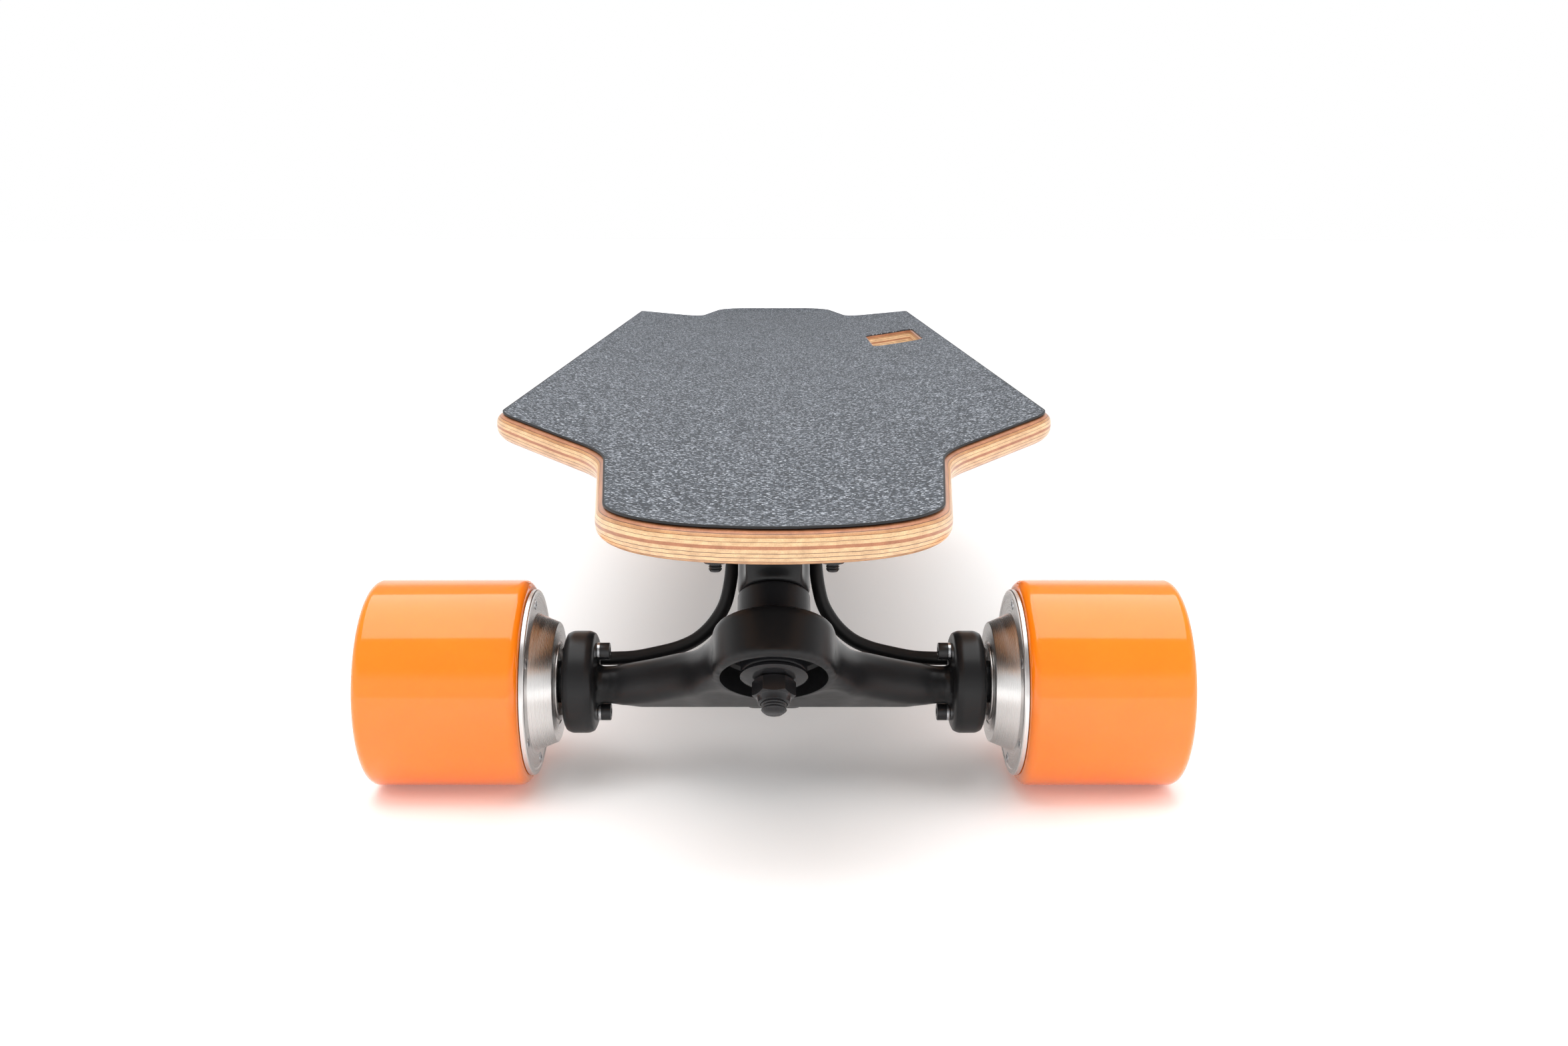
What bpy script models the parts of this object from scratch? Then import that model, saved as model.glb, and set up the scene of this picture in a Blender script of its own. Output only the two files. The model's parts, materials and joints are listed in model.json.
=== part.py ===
"""Electric skateboard with two hub motors, as separate solids. Metres, +Z up.

The origin is on the ground under the middle of the deck. +Y runs from the motor end to the
front end, +X is the rider's right. Run it with: blender --background --python part.py
"""

from math import atan2, cos, pi, radians, sin, sqrt, tan

import bmesh
import bpy
from mathutils import Matrix, Vector

# ---------------------------------------------------------------- driving dimensions
WHEELBASE = 0.850
GAP = 0.0003                    # between neighbours that touch
RUNNING = 0.0006                # around a piece that turns

# Wheels
WHEEL_RADIUS = 0.0415           # also the height of both axles
WHEEL_WIDTH = 0.0636

# Deck
DECK_HALF_WIDTH = 0.1225
DECK_THICKNESS = 0.0112
DECK_TOP = WHEEL_RADIUS + 0.0883    # height of its top face on the centre line
NOSE_OVERHANG = 0.135           # tip beyond the axle
NOSE_HALF_WIDTH = 0.0560
NECK_HALF_WIDTH = 0.0710
NOSE_BOW = 0.006                # how far the tip bows out
NOSE_RADIUS = 0.046
NECK_RADIUS = 0.055
SHOULDER_RADIUS = 0.026
NECK_INSET = 0.010              # neck corner, inboard of the axle
SHOULDER_INSET = 0.066          # platform corner, inboard of the axle
CONCAVE = 0.0130                # rise of the edge over the centre line
TIP_RISE = 0.0030
EDGE_ROUND = 0.0036
GRIP_THICKNESS = 0.0008
GRIP_INSET = 0.0026

# Handle slot
SLOT_WIDTH = 0.034
SLOT_LENGTH = 0.099
SLOT_X = 0.0895
SLOT_Y = 0.120
SLOT_RADIUS = 0.006

# Trucks
BOLT_SPACING_X = 0.0413
BOLT_SPACING_Y = 0.0540
BOLT_RADIUS = 0.0024
BOLT_HOLE_RADIUS = 0.0028
BOLT_HEAD_RADIUS = 0.0046
BOLT_HEAD_HEIGHT = 0.0030
BOLT_NUT_FLATS = 0.0095
BOLT_NUT_HEIGHT = 0.0040
BOLT_TAIL = 0.0030              # thread past its nut
BASE_OFFSET = 0.0440            # bolt pattern centre, outboard of the axle
BASE_WIDTH = 0.0580
BASE_OUT = 0.0840               # plate's outer end, outboard of the axle
BASE_IN = 0.0360                # and its inner end, inboard
BASE_PLATE = 0.0040
RISER = 0.0020
KINGPIN_TILT = radians(50)      # below the horizontal, pointing outboard
SEAT_OUT = 0.034                # middle of the hanger's upper bushing seat, outboard of the axle
SEAT_HEIGHT = WHEEL_RADIUS + 0.0305
PIVOT_IN = 0.024                # pivot tip, inboard of the axle
PIVOT_HEIGHT = WHEEL_RADIUS - 0.0101
RING_WEB = 0.008
BARREL_RADIUS = 0.0235
RECESS_RADIUS = 0.0205
SEAT_RIM = 0.0015
SEAT_SIDE_GAP = 0.0015
RECESS_DEPTH = 0.0110
BUSHING_RADIUS = 0.0140
ROAD_BUSHING_RADIUS = 0.0125
BUSHING_LENGTH = 0.0150
ROAD_BUSHING_LENGTH = 0.0090
KINGPIN_RADIUS = 0.0048
KINGPIN_HOLE_RADIUS = 0.0082    # wide, so that the hanger can steer round the pin
KINGPIN_NUT_FLATS = 0.0143
KINGPIN_NUT_HEIGHT = 0.0095
KINGPIN_TAIL = 0.0035
HEAD_SEAT = 0.0420              # kingpin head's underside, up the kingpin from the seat
KINGPIN_HEAD_RADIUS = 0.0078
KINGPIN_HEAD_HEIGHT = 0.0040
WASHER_RADIUS = 0.0128
WASHER_THICKNESS = 0.0020
PIVOT_RADIUS = 0.0048
CUP_WALL = 0.0016
CUP_DEPTH = 0.0020
ARM_RADIUS = 0.0085
ARM_HEIGHT = WHEEL_RADIUS - 0.0020      # middle of the hanger's arm

# Motor and front wheels
WHEEL_INNER_X = 0.0980          # tyre's inner face
TYRE_ROUND = 0.0040
SHELL_RADIUS = 0.0350           # motor's shell under the tyre
SHELL_WALL = 0.0030
PLATE_RADIUS = 0.0375
PLATE_THICKNESS = 0.0020
CONE_BASE_RADIUS = 0.0278
CONE_TOP_RADIUS = 0.0241
CONE_HEIGHT = 0.0086
COLLAR_RADIUS = 0.0155
COLLAR_HEIGHT = 0.0008
AXLE_RADIUS = 0.0085
FLANGE_RADIUS = 0.0207
FLANGE_THICKNESS = 0.0126
FLANGE_FACE_X = 0.0843          # flange's wheel side
FLANGE_SCREW_SPACING = 0.0257
FLANGE_SCREW_RADIUS = 0.0020
FLANGE_SCREW_HEAD_RADIUS = 0.0035
FLANGE_SCREW_HEAD = 0.0040
FLANGE_SCREW_WASHER = 0.0010
FLANGE_SCREW_TAIL = 0.0012
FLANGE_ROUND = 0.0030
AXLE_SEAT = 0.0090              # depth of the axle in the flange
BEARING_RADIUS = 0.0130
STATOR_RADIUS = 0.0290
STATOR_GAP = 0.0030
FREE_WHEEL_WIDTH = 0.0520
FREE_WHEEL_INNER_X = 0.1000
FREE_AXLE_RADIUS = 0.0040
FREE_BEARING_RADIUS = 0.0110
FREE_BEARING_WIDTH = 0.0070
FREE_BEARING_INSET = 0.0080
FREE_SPACER_RADIUS = 0.0058
FREE_CORE_INSET = 0.0040
FREE_CORE_RADIUS = 0.0260
FREE_NUT_FLATS = 0.0130
FREE_NUT_HEIGHT = 0.0080

# Electronics box under the deck
CASE_TRUCK_GAP = 0.0450         # from the motor axle to the box
CASE_SLOT_GAP = 0.0180          # from the box to the handle slot
CASE_HALF_WIDTH = 0.0785
CASE_LEAN = 0.0105              # how far its walls lean in
CASE_DEPTH = 0.0330             # below the deck's lower face
CASE_RADIUS = 0.0160
CASE_WALL = 0.0030
CASE_LIP = 0.0050
CASE_LIP_THICKNESS = 0.0030
GASKET_THICKNESS = 0.0015
CELL_GAP = 0.0040               # round the battery and the controller
WIRING_SPACE = 0.0375           # between the battery and the controller
BATTERY_WIDTH = 0.1180
BATTERY_HEIGHT = 0.0200
CONTROLLER_LENGTH = 0.090
CONTROLLER_WIDTH = 0.0900
CONTROLLER_HEIGHT = 0.0160
SOCKET_FROM_END = 0.0600        # power button, from the box's motor end
SOCKET_SPACING = 0.0450         # from the button to the charge port
SOCKET_RISE = 0.0184            # button's and port's middle over the box's bottom
BUTTON_RADIUS = 0.0070
BUTTON_PROUD = 0.0018
BUTTON_LENGTH = 0.0070
PORT_RADIUS = 0.0075
PORT_BORE = 0.0045
PORT_LENGTH = 0.0120
CAP_RADIUS = 0.0100
CAP_THICKNESS = 0.0022
CAP_PIN_RADIUS = 0.0016

# Phase leads
LEAD_RADIUS = 0.0028

ROUND = 24                      # sides of a large turned piece
WHEEL_SIDES = 32
MIDDLE = 16
SMALL = 8                       # sides of a small one

AXLE_Y = WHEELBASE / 2
NOSE_TIP_Y = AXLE_Y + NOSE_OVERHANG
TRUCKS = {"rear": -1, "front": 1}
SIDES = {"left": -1, "right": 1}


# ---------------------------------------------------------------- building blocks
def clear_scene():
    for old in list(bpy.data.objects):
        bpy.data.objects.remove(old, do_unlink=True)


def material(name, colour, roughness, metallic=0.0):
    made = bpy.data.materials.get(name) or bpy.data.materials.new(name)
    made.use_nodes = True
    shader = made.node_tree.nodes["Principled BSDF"]
    shader.inputs["Base Color"].default_value = (*colour, 1.0)
    shader.inputs["Roughness"].default_value = roughness
    shader.inputs["Metallic"].default_value = metallic
    return made


def add(name, bm, finish, place=Matrix()):
    """Turn the bmesh into an object at `place`, with its faces pointing out."""
    bmesh.ops.recalc_face_normals(bm, faces=bm.faces)
    mesh = bpy.data.meshes.new(name)
    bm.to_mesh(mesh)
    bm.free()
    mesh.materials.append(finish)
    mesh.shade_smooth()
    mesh.set_sharp_from_angle(angle=radians(35))
    made = bpy.data.objects.new(name, mesh)
    made.matrix_world = place
    bpy.context.scene.collection.objects.link(made)
    return made


def cut(piece, cutter, operation="DIFFERENCE"):
    """Join or cut with a helper object, which is then hidden."""
    step = piece.modifiers.new(cutter.name, "BOOLEAN")
    step.operation = operation
    step.solver = "EXACT"
    step.object = cutter
    cutter.hide_render = True
    cutter.display_type = "WIRE"


def bridge(bm, loops, closed=False):
    """Join a row of equal rings of vertices into a skin, and cap its ends unless it closes."""
    rows = list(zip(loops, loops[1:]))
    if closed:
        rows.append((loops[-1], loops[0]))
    for near, far in rows:
        count = len(near)
        for i in range(count):
            j = (i + 1) % count
            bm.faces.new((near[i], near[j], far[j], far[i]))
    if not closed:
        bm.faces.new(loops[0])
        bm.faces.new(loops[-1])


def ring(bm, points):
    return [bm.verts.new(p) for p in points]


def circle(radius, height, sides):
    return [(radius * cos(2 * pi * k / sides), radius * sin(2 * pi * k / sides), height)
            for k in range(sides)]


def turned(name, profile, finish, place=Matrix(), sides=ROUND, hollow=False):
    """A turned piece about its own Z: profile is (radius, height) pairs."""
    bm = bmesh.new()
    bridge(bm, [ring(bm, circle(r, h, sides)) for r, h in profile], closed=hollow)
    return add(name, bm, finish, place)


def prism(name, outline, low, high, finish, place=Matrix()):
    bm = bmesh.new()
    bridge(bm, [ring(bm, [(x, y, z) for x, y in outline]) for z in (low, high)])
    return add(name, bm, finish, place)


def arc(before, here, after, radius, steps=4):
    """The points that round one corner of a path."""
    here = Vector(here)
    back = (Vector(before) - here).normalized()
    ahead = (Vector(after) - here).normalized()
    half = back.angle(ahead) / 2
    middle = here + (back + ahead).normalized() * radius / sin(half)
    start = here + back * radius / tan(half) - middle
    stop = here + ahead * radius / tan(half) - middle
    first = atan2(start.y, start.x)
    turn = atan2(start.cross(stop), start.dot(stop))
    return [(middle.x + radius * cos(first + turn * k / steps),
             middle.y + radius * sin(first + turn * k / steps)) for k in range(steps + 1)]


def rounded(corners, radius, steps=4):
    """A closed outline through the corners, each rounded by an arc."""
    outline = []
    for i, corner in enumerate(corners):
        outline += arc(corners[i - 1], corner, corners[(i + 1) % len(corners)], radius, steps)
    return outline


def oblong(half_x, half_y, radius, steps=4):
    corners = [(half_x, -half_y), (half_x, half_y), (-half_x, half_y), (-half_x, -half_y)]
    return rounded(corners, radius, steps)


def hexagon(flats):
    return [(flats / sqrt(3) * cos(pi * k / 3), flats / sqrt(3) * sin(pi * k / 3))
            for k in range(6)]


def nut(name, flats, height, bore, finish, place):
    """A hexagon nut on its own Z, standing on z = 0, with a plain bore."""
    bm = bmesh.new()
    outer = [ring(bm, [(x, y, z) for x, y in nut_outline(flats)]) for z in (0, height)]
    inner = [ring(bm, circle(bore, z, 18)) for z in (height, 0)]
    bridge(bm, outer + inner, closed=True)
    return add(name, bm, finish, place)


def nut_outline(flats):
    """Eighteen points round a hexagon, so that a round bore joins it face by face."""
    corners = [Vector(c) for c in hexagon(flats)]
    return [tuple(corners[k].lerp(corners[(k + 1) % 6], step / 3))
            for k in range(6) for step in range(3)]


def along_x(x, y, z, sign):
    """Own Z turned to point outward along X on the side `sign`."""
    return Matrix.Translation((x, y, z)) @ Matrix.Rotation(sign * pi / 2, 4, "Y")


def at(x, y, z):
    return Matrix.Translation((x, y, z))


# ---------------------------------------------------------------- deck
def deck_edge():
    """The right edge of the deck, from the motor end's tip to the front tip."""
    nose = (NOSE_HALF_WIDTH, -NOSE_TIP_Y + NOSE_BOW)
    neck = (NECK_HALF_WIDTH, -AXLE_Y + NECK_INSET)
    shoulder = (DECK_HALF_WIDTH, -AXLE_Y + SHOULDER_INSET)
    flat = NOSE_HALF_WIDTH - NOSE_RADIUS
    tip = [(flat * k / 4, -NOSE_TIP_Y + NOSE_BOW * (flat * k / 4 / NOSE_HALF_WIDTH) ** 2)
           for k in range(5)]
    half = tip[:-1]
    half += arc(tip[-1], nose, neck, NOSE_RADIUS)
    half += arc(nose, neck, shoulder, NECK_RADIUS)
    half += arc(neck, shoulder, (DECK_HALF_WIDTH, 0), SHOULDER_RADIUS, 4)
    waist = [(DECK_HALF_WIDTH, y) for y in (-0.2 * WHEELBASE, 0, 0.2 * WHEELBASE)]
    return half + waist + [(x, -y) for x, y in reversed(half)]


def inset(edge, distance):
    """The edge moved inward; its two ends stay on the centre line."""
    moved = []
    for i, point in enumerate(edge):
        before = edge[i - 1] if i else (-edge[1][0], edge[1][1])
        after = edge[i + 1] if i + 1 < len(edge) else (-edge[-2][0], edge[-2][1])
        run = (Vector(after) - Vector(before)).normalized()
        moved.append((point[0] - run.y * distance, point[1] + run.x * distance))
    return moved


def deck_top(x, y):
    """Height of the deck's upper face: a concave across it, and a small rise at each tip."""
    past_truck = max(0.0, abs(y) - AXLE_Y - BASE_OUT) / (NOSE_OVERHANG - BASE_OUT)
    return DECK_TOP + CONCAVE * (x / DECK_HALF_WIDTH) ** 2 + TIP_RISE * past_truck ** 2


def board(name, rings, finish, columns=4):
    """A curved board: rings of (inset, height over the deck's top face), from below upward."""
    bm = bmesh.new()
    loops = []
    for distance, lift in rings:
        edge = inset(deck_edge(), distance)
        round_it = edge + [(-x, y) for x, y in reversed(edge[1:-1])]
        loops.append(ring(bm, [(x, y, deck_top(x, y) + lift) for x, y in round_it]))
    for low, high in zip(loops, loops[1:]):
        for i in range(len(low)):
            bm.faces.new((low[i - 1], low[i], high[i], high[i - 1]))
    for loop, (_, lift) in ((loops[0], rings[0]), (loops[-1], rings[-1])):
        close_board(bm, loop, lift, columns)
    return add(name, bm, finish)


def close_board(bm, loop, lift, columns):
    """Fill a ring of the board with strips that run across it."""
    last = len(loop) // 2
    rows = [[loop[0]]]
    for i in range(1, last):
        right = loop[i]
        left = loop[-i]
        row = [right]
        for k in range(1, columns):
            x, y, _ = right.co.lerp(left.co, k / columns)
            row.append(bm.verts.new((x, y, deck_top(x, y) + lift)))
        rows.append(row + [left])
    rows.append([loop[last]])
    for near, far in zip(rows, rows[1:]):
        for k in range(columns):
            corners = [near[min(k, len(near) - 1)], near[min(k + 1, len(near) - 1)],
                       far[min(k + 1, len(far) - 1)], far[min(k, len(far) - 1)]]
            bm.faces.new(list(dict.fromkeys(corners)))


def bolt_places():
    """(name, x, y) of each truck bolt."""
    places = []
    for truck, end in TRUCKS.items():
        for side, sign in SIDES.items():
            for row, step in (("outer", 1), ("inner", -1)):
                y = end * (AXLE_Y + BASE_OFFSET + step * BOLT_SPACING_Y / 2)
                places.append((f"{truck}_truck_bolt_{side}_{row}", sign * BOLT_SPACING_X / 2, y))
    return places


def make_deck(wood, grit):
    thick = -DECK_THICKNESS
    rings = [(EDGE_ROUND, thick), (0, thick + EDGE_ROUND), (0, -EDGE_ROUND), (EDGE_ROUND, 0)]
    deck = board("deck", rings, wood)
    grip = board("grip_tape", [(GRIP_INSET, GAP), (GRIP_INSET, GAP + GRIP_THICKNESS)], grit)
    slot = prism("slot_cutter", oblong(SLOT_WIDTH / 2, SLOT_LENGTH / 2, SLOT_RADIUS),
                 DECK_TOP - 0.05, DECK_TOP + 0.05, wood, at(SLOT_X, SLOT_Y, 0))
    cut(deck, slot)
    cut(grip, slot)
    for name, x, y in bolt_places():
        seat = deck_top(x, y) - BOLT_HEAD_HEIGHT - 2 * GAP
        hole = turned(name + "_hole", [(BOLT_HOLE_RADIUS, DECK_TOP - 0.05),
                                       (BOLT_HOLE_RADIUS, seat), (BOLT_HEAD_RADIUS + GAP, seat),
                                       (BOLT_HEAD_RADIUS + GAP, DECK_TOP + 0.05)],
                      wood, at(x, y, 0), SMALL)
        cut(deck, hole)


# ---------------------------------------------------------------- trucks
def truck_frame(end):
    """Local frame of a truck: origin under its axle, own +Y outboard, +X kept to one side."""
    turn = Matrix.Rotation(0 if end > 0 else pi, 4, "Z")
    return Matrix.Translation((0, end * AXLE_Y, 0)) @ turn


def kingpin_frame(end):
    """Own Z runs up the kingpin toward the deck, from the hanger's upper bushing seat."""
    lean = Matrix.Rotation(pi / 2 - KINGPIN_TILT, 4, "X")
    return truck_frame(end) @ at(0, SEAT_OUT, SEAT_HEIGHT) @ lean


def pivot_frame(end):
    """Own Z runs along the steering axis from the pivot tip toward the bushing seat."""
    rise = atan2(SEAT_HEIGHT - PIVOT_HEIGHT, SEAT_OUT + PIVOT_IN)
    lean = Matrix.Rotation(-(pi / 2 - rise), 4, "X")
    return truck_frame(end) @ at(0, -PIVOT_IN, PIVOT_HEIGHT) @ lean


RISER_TOP = DECK_TOP - DECK_THICKNESS - GAP
BASE_TOP = RISER_TOP - RISER - GAP
BASE_BOTTOM = BASE_TOP - BASE_PLATE
BOSS_START = BUSHING_LENGTH + 2 * GAP       # up the kingpin, from the seat
BLOCK_HALF_WIDTH = 0.0110
CUP_RADIUS = PIVOT_RADIUS + GAP + CUP_WALL


def on_kingpin(lift, across):
    """(outboard, height) of a point `lift` up the kingpin and `across` it, outboard and up."""
    return (SEAT_OUT - lift * cos(KINGPIN_TILT) + across * sin(KINGPIN_TILT),
            SEAT_HEIGHT + lift * sin(KINGPIN_TILT) + across * cos(KINGPIN_TILT))


def on_pivot(lift, across):
    """(outboard, height) of a point `lift` along the steering axis and `across` it, upward."""
    rise = atan2(SEAT_HEIGHT - PIVOT_HEIGHT, SEAT_OUT + PIVOT_IN)
    return (-PIVOT_IN + lift * cos(rise) - across * sin(rise),
            PIVOT_HEIGHT + lift * sin(rise) + across * cos(rise))


def side_prism(name, outline, half_width, finish, place):
    """A block with an (outboard, height) outline, extruded across the truck."""
    bm = bmesh.new()
    bridge(bm, [ring(bm, [(x, y, z) for y, z in outline]) for x in (-half_width, half_width)])
    return add(name, bm, finish, place)


def make_baseplate(truck, end, black, rubber):
    frame = truck_frame(end)
    kingpin = kingpin_frame(end)
    pivot = pivot_frame(end)
    half_length = (BASE_OUT + BASE_IN) / 2
    outline = oblong(BASE_WIDTH / 2, half_length, 0.010)
    middle = frame @ at(0, (BASE_OUT - BASE_IN) / 2, 0)
    base = prism(f"{truck}_baseplate", outline, BASE_BOTTOM, BASE_TOP, black, middle)
    riser = prism(f"{truck}_riser_pad", outline, RISER_TOP - RISER, RISER_TOP, rubber, middle)
    cup = CUP_RADIUS + 0.0020
    block = side_prism(f"{truck}_block_body", [
        on_kingpin(BOSS_START + 0.003, BUSHING_RADIUS - 0.001),
        (SEAT_OUT - 0.004, BASE_TOP - 0.001), (-BASE_IN + 0.002, BASE_TOP - 0.001),
        (-BASE_IN + 0.002, SEAT_HEIGHT - 0.010), on_pivot(-0.004, cup),
        on_pivot(-0.004, -cup), on_pivot(0.0090, -cup), on_pivot(0.0090, cup),
        (-PIVOT_IN + 0.007, SEAT_HEIGHT - 0.010), (0, SEAT_HEIGHT + 0.008),
        on_kingpin(BOSS_START + 0.003, -BUSHING_RADIUS + 0.001)],
        BLOCK_HALF_WIDTH, black, frame)
    cut(base, block, "UNION")
    top_lift = (BASE_TOP - 0.001 - BUSHING_RADIUS * cos(KINGPIN_TILT) - SEAT_HEIGHT) / sin(KINGPIN_TILT)
    boss = turned(f"{truck}_boss_body", [(BUSHING_RADIUS, BOSS_START), (BUSHING_RADIUS, top_lift)],
                  black, kingpin)
    cut(base, boss, "UNION")
    pin_hole = turned(f"{truck}_kingpin_hole", [
        (KINGPIN_RADIUS + GAP, BOSS_START - 0.01), (KINGPIN_RADIUS + GAP, HEAD_SEAT - GAP),
        (KINGPIN_HEAD_RADIUS + GAP, HEAD_SEAT - GAP), (KINGPIN_HEAD_RADIUS + GAP, HEAD_SEAT + 0.03)],
        black, kingpin, MIDDLE)
    cut(base, pin_hole)
    cup_hole = turned(f"{truck}_cup_hole", [(CUP_RADIUS + GAP, -CUP_DEPTH - GAP),
                                            (CUP_RADIUS + GAP, 0.030)], black, pivot, MIDDLE)
    cut(base, cup_hole)
    for name, x, y in bolt_places():
        if name.startswith(truck):
            hole = turned(f"{name}_base_hole", [(BOLT_HOLE_RADIUS, BASE_BOTTOM - 0.003),
                                                (BOLT_HOLE_RADIUS, RISER_TOP + 0.003)],
                          black, at(x, y, 0), SMALL)
            cut(base, hole)
            cut(riser, hole)


def make_kingpin(truck, end, steel, rubber):
    kingpin = kingpin_frame(end)
    pivot = pivot_frame(end)
    washer_top = -RING_WEB - 2 * GAP - ROAD_BUSHING_LENGTH
    nut_top = washer_top - WASHER_THICKNESS - GAP
    tip = nut_top - KINGPIN_NUT_HEIGHT - KINGPIN_TAIL
    turned(f"{truck}_kingpin", [
        (KINGPIN_RADIUS - 0.0008, tip), (KINGPIN_RADIUS, tip + 0.0008), (KINGPIN_RADIUS, HEAD_SEAT),
        (KINGPIN_HEAD_RADIUS, HEAD_SEAT), (KINGPIN_HEAD_RADIUS, HEAD_SEAT + KINGPIN_HEAD_HEIGHT)],
        steel, kingpin, MIDDLE)
    bore = KINGPIN_RADIUS + GAP
    for name, radius, low, high in (
            ("boardside_bushing", BUSHING_RADIUS, GAP, GAP + BUSHING_LENGTH),
            ("roadside_bushing", ROAD_BUSHING_RADIUS, washer_top + GAP, -RING_WEB - GAP)):
        soft = 0.0012
        turned(f"{truck}_{name}", [(bore, low), (radius - soft, low), (radius, low + soft),
                                   (radius, high - soft), (radius - soft, high), (bore, high)],
               rubber, kingpin, MIDDLE, hollow=True)
    turned(f"{truck}_cup_washer", [(bore, washer_top), (WASHER_RADIUS, washer_top),
                                   (WASHER_RADIUS, washer_top - WASHER_THICKNESS * 0.6),
                                   (WASHER_RADIUS - 0.003, washer_top - WASHER_THICKNESS),
                                   (bore, washer_top - WASHER_THICKNESS)],
           steel, kingpin, MIDDLE, hollow=True)
    nut(f"{truck}_kingpin_nut", KINGPIN_NUT_FLATS, KINGPIN_NUT_HEIGHT, bore, steel,
        kingpin @ at(0, 0, nut_top - KINGPIN_NUT_HEIGHT))
    inner = PIVOT_RADIUS + GAP
    turned(f"{truck}_pivot_cup", [(inner, -CUP_DEPTH), (CUP_RADIUS, -CUP_DEPTH),
                                  (CUP_RADIUS, 0.0088), (inner, 0.0088)],
           rubber, pivot, MIDDLE, hollow=True)


def capsule(y1, z1, r1, y2, z2, r2, sides=7):
    """Outline round two circles, as (outboard, height) points."""
    way = atan2(z2 - z1, y2 - y1) if (y1, z1) != (y2, z2) else 0.0
    points = []
    for y, z, r, first in ((y1, z1, r1, way + pi / 2), (y2, z2, r2, way - pi / 2)):
        points += [(y + r * cos(first + pi * k / sides), z + r * sin(first + pi * k / sides))
                   for k in range(sides + 1)]
    return points


# The arm's upper edge: across the truck, outboard of the axle, height over the axle
ARM_STATIONS = [(0.0235, 0.0335, 0.0190), (0.030, 0.0245, 0.0117), (0.037, 0.0150, 0.0075),
                (0.048, 0.0070, 0.0027), (0.060, 0.0020, -0.0005)]


def make_hanger(truck, end, black, half, arm_end_radius):
    """Arms, the barrel round the kingpin, and the pivot stub; end flanges come later."""
    frame = truck_frame(end)
    kingpin = kingpin_frame(end)
    head = on_kingpin(-0.010, 0.002)
    stations = [(0.0, *head), (0.017, *head)]
    stations += [(x, y, WHEEL_RADIUS + rise) for x, y, rise in ARM_STATIONS]
    sections = [(x, capsule(0, ARM_HEIGHT, ARM_RADIUS, y, z, ARM_RADIUS + 0.0005))
                for x, y, z in stations]
    low_centre = WHEEL_RADIUS - 0.0012
    sections.append((0.0655, capsule(0, low_centre, arm_end_radius, 0.0005, low_centre,
                                     arm_end_radius)))
    sections.append((half, sections[-1][1]))
    bm = bmesh.new()
    mirror = [(-x, outline) for x, outline in reversed(sections[1:])]
    bridge(bm, [ring(bm, [(x, y, z) for y, z in outline]) for x, outline in mirror + sections])
    hanger = add(f"{truck}_hanger", bm, black, frame)
    mouth = -RING_WEB - RECESS_DEPTH
    soft = 0.0020
    barrel = turned(f"{truck}_barrel_body", [
        (BARREL_RADIUS - soft, mouth), (BARREL_RADIUS, mouth + soft),
        (BARREL_RADIUS, SEAT_RIM - soft), (BARREL_RADIUS - soft, SEAT_RIM)], black, kingpin)
    cut(hanger, barrel, "UNION")
    stub = turned(f"{truck}_stub_body", [(PIVOT_RADIUS, 0), (PIVOT_RADIUS, 0.0100),
                                         (PIVOT_RADIUS + 0.002, 0.0130),
                                         (PIVOT_RADIUS + 0.002, 0.0300)],
                  black, pivot_frame(end), MIDDLE)
    cut(hanger, stub, "UNION")
    recess = turned(f"{truck}_recess", [(RECESS_RADIUS, mouth - 0.04), (RECESS_RADIUS, -RING_WEB)],
                    black, kingpin)
    cut(hanger, recess)
    seat = turned(f"{truck}_bushing_seat", [(BUSHING_RADIUS + SEAT_SIDE_GAP, 0),
                                            (BUSHING_RADIUS + SEAT_SIDE_GAP, 0.03)], black, kingpin)
    cut(hanger, seat)
    hole = turned(f"{truck}_hanger_hole", [(KINGPIN_HOLE_RADIUS, mouth), (KINGPIN_HOLE_RADIUS, 0.03)],
                  black, kingpin, MIDDLE)
    cut(hanger, hole)
    return hanger


def make_truck_bolts(steel):
    for name, x, y in bolt_places():
        top = deck_top(x, y) - GAP
        nut_top = BASE_BOTTOM - GAP
        tail = nut_top - BOLT_NUT_HEIGHT
        nut_radius = BOLT_NUT_FLATS / 2
        turned(name, [(BOLT_RADIUS - 0.0005, tail - BOLT_TAIL), (BOLT_RADIUS, tail - BOLT_TAIL + 0.0005),
                      (BOLT_RADIUS, tail), (nut_radius, tail), (nut_radius, nut_top),
                      (BOLT_RADIUS, nut_top), (BOLT_RADIUS, top - BOLT_HEAD_HEIGHT),
                      (BOLT_HEAD_RADIUS, top - BOLT_HEAD_HEIGHT), (BOLT_HEAD_RADIUS, top)],
               steel, at(x, y, 0), SMALL)


# ---------------------------------------------------------------- wheels
def flange_place(sign):
    inner = FLANGE_FACE_X - FLANGE_THICKNESS
    return along_x(sign * inner, TRUCKS["rear"] * AXLE_Y, WHEEL_RADIUS, sign)


def make_end_flange(hanger, side, sign, black):
    """The round flange at one end of the motor hanger."""
    disc = turned(f"flange_{side}_body", [
        (FLANGE_RADIUS - FLANGE_ROUND, 0), (FLANGE_RADIUS - 0.3 * FLANGE_ROUND, 0.3 * FLANGE_ROUND),
        (FLANGE_RADIUS, FLANGE_ROUND), (FLANGE_RADIUS, FLANGE_THICKNESS - FLANGE_ROUND),
        (FLANGE_RADIUS - 0.3 * FLANGE_ROUND, FLANGE_THICKNESS - 0.3 * FLANGE_ROUND),
        (FLANGE_RADIUS - FLANGE_ROUND, FLANGE_THICKNESS)], black, flange_place(sign))
    cut(hanger, disc, "UNION")


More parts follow.
